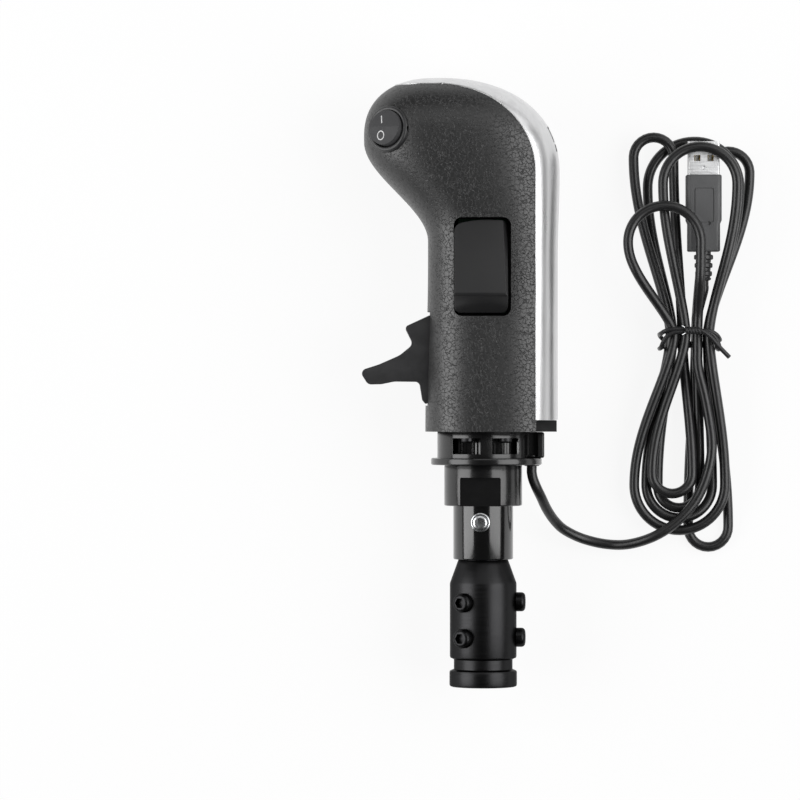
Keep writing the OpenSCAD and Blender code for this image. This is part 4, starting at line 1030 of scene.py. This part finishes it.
# a flanged head: rim, groove and a raised drive with a deep hexagon
def tubeScrew():
    seat, (rim, drive, rise, key, keyDepth) = base["tube"][0], base["tubeScrew"]
    bm = turned([(0, seat - 2.6), (1.6, seat - 2.6), (2, seat - 2.2), (2, seat), (rim, seat), (rim, seat + 0.7),
                 (rim - 0.15, seat + 1), (rim - 0.4, seat + 1.1), (rim - 0.65, seat + 0.5), (drive, seat + 0.4),
                 (drive, seat + rise - 0.8), (drive - 0.25, seat + rise - 0.25), (drive - 0.8, seat + rise),
                 (0, seat + rise)], 64)
    bm = keyed(bm, key, seat + rise - keyDepth, seat + rise + 1)
    return put(bm, outOfAxis(base["screwY"], base["turn"]))


tubeGloss = mouldedMaterial("tubeGloss", (0.003, 0.003, 0.0031), 0.16, grain=700, depth=0.003, coat=0.6)
plasticGloss = mouldedMaterial("plasticGloss", (0.006, 0.006, 0.0062), 0.24, grain=800, depth=0.006, coat=0.3)
glandBlack = mouldedMaterial("glandBlack", (0.009, 0.009, 0.0093), 0.3, grain=1200, depth=0.008)
zinc = metalMaterial("zincSteel", (0.70, 0.71, 0.72), 0.28, grain=700)
dullZinc = metalMaterial("dullZinc", (0.34, 0.345, 0.35), 0.4, grain=700)
darkSteel = metalMaterial("darkSteel", (0.05, 0.05, 0.052), 0.45, grain=700)
addPiece(socketTube(), "socketTube", tubeGloss, stands=["socket_tube"])
addPiece(tubeScrew(), "tubeScrew", zinc, stands=["tube_screw"])
addPiece(lockingCollar(), "lockingCollar", plasticGloss, stands=["locking_collar"])
addPiece(baseFlange(), "baseFlange", plasticGloss, stands=["base_flange"])
addPiece(cordGland(), "cordGland", glandBlack, stands=["cord_gland"])
addPiece(baseScrews(), "baseScrews", darkSteel, stands=["base_screws"])
print("base made")

# the CAD pieces that stay as they are, each with a material of its own
boardGreen = mouldedMaterial("boardGreen", (0.012, 0.075, 0.03), 0.35, grain=700, depth=0.008, coat=0.3)
pinSteel = metalMaterial("pinSteel", (0.62, 0.63, 0.64), 0.25, stretch=(1, 1, 8), grain=300)
brass = metalMaterial("terminalBrass", (0.72, 0.52, 0.22), 0.3, grain=500)
gold = metalMaterial("contactGold", (0.83, 0.62, 0.25), 0.2, stretch=(1, 10, 1), grain=300)
tongueWhite = mouldedMaterial("tongueWhite", (0.66, 0.66, 0.64), 0.45, grain=1500, depth=0.008, mottle=0.06)
coreBlack = mouldedMaterial("coreBlack", (0.020, 0.020, 0.0205), 0.36, grain=1000, depth=0.012)
switchBlack = mouldedMaterial("switchBlack", (0.016, 0.016, 0.017), 0.38, grain=1500, depth=0.01)
inner = {"grip_core": coreBlack, "main_board": boardGreen, "switch_board": boardGreen, "cover_screws": zinc,
         "board_screws": dullZinc, "range_switch": switchBlack, "side_switches": switchBlack,
         "range_lever_pin": pinSteel, "side_rocker_pin": pinSteel, "rocker_terminals": brass,
         "plug_tongue": tongueWhite, "plug_contacts": gold}
for name, material in inner.items():
    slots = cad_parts[name].data.materials
    slots.clear()
    slots.append(material)
print("inner pieces coloured")

# studio: a pale floor, four soft boxes and a dim room; each box has its place, its size and its power
studio = {"floor": 3.0, "floorGap": 0.02, "floorColour": 0.93, "whiten": 0.9, "room": 0.045, "aim": (0.0, 0.11, 0.0),
          "boxes": [("leftBox", (-0.92, 0.11, 0.51), (1.0, 0.84), 10.4),
                    ("rightBox", (0.77, 0.12, 0.72), (1.0, 0.89), 9.4),
                    ("topBox", (0.0, 0.72, 0.86), (1.0, 0.5), 1.4),
                    ("cornerBox", (0.62, 0.86, 0.42), (0.6, 0.7), 1.6)]}


def floorMaterial():
    shade = studio["floorColour"]
    mat, tree, shader, place = newMaterial("floorWhite", (shade,) * 3, 0.9, specular=0.1)
    addTint(tree, shader, addNoise(tree, place, 3, 2), (shade - 0.01,) * 3, (shade + 0.01,) * 3)
    camera, glossy, through = [addNode(tree, "LightPath", {}, "Is %s Ray" % ray)
                               for ray in ("Camera", "Glossy", "Transmission")]
    seen = addMath(tree, "MAXIMUM", addMath(tree, "MAXIMUM", camera, glossy), through)
    white = addNode(tree, "Emission", {"Strength": 1}, "Emission")
    mixed = addNode(tree, "MixShader", {"Fac": addRange(tree, seen, 0, 1, 0, studio["whiten"]),
                                        1: shader.outputs["BSDF"], 2: white}, "Shader")
    tree.links.new(mixed, tree.nodes["Material Output"].inputs["Surface"])
    return mat


floorMesh = bmesh.new()
bmesh.ops.create_grid(floorMesh, x_segments=1, y_segments=1, size=studio["floor"])
put(floorMesh, Matrix.Translation((*studio["aim"][:2], (cordLay["table"] - studio["floorGap"]) * mm)))
floorData = bpy.data.meshes.new("floor")
floorMesh.to_mesh(floorData)
floorMesh.free()
floorData.materials.append(floorMaterial())
floor = bpy.data.objects.new("floor", floorData)
scene.collection.objects.link(floor)

world = bpy.data.worlds.new("room")
scene.world = world
world.use_nodes = True
world.node_tree.nodes["Background"].inputs["Color"].default_value = (1, 1, 1, 1)
world.node_tree.nodes["Background"].inputs["Strength"].default_value = studio["room"]
for name, place, size, power in studio["boxes"]:
    lampData = bpy.data.lights.new(name, "AREA")
    lampData.shape = "RECTANGLE"
    lampData.size, lampData.size_y = size
    lampData.energy = power
    lamp = bpy.data.objects.new(name, lampData)
    lamp.location = place
    lamp.rotation_mode = "QUATERNION"
    lamp.rotation_quaternion = (Vector(studio["aim"]) - Vector(place)).to_track_quat("-Z", "Y")
    lamp.visible_camera = False
    scene.collection.objects.link(lamp)
print("studio lit")
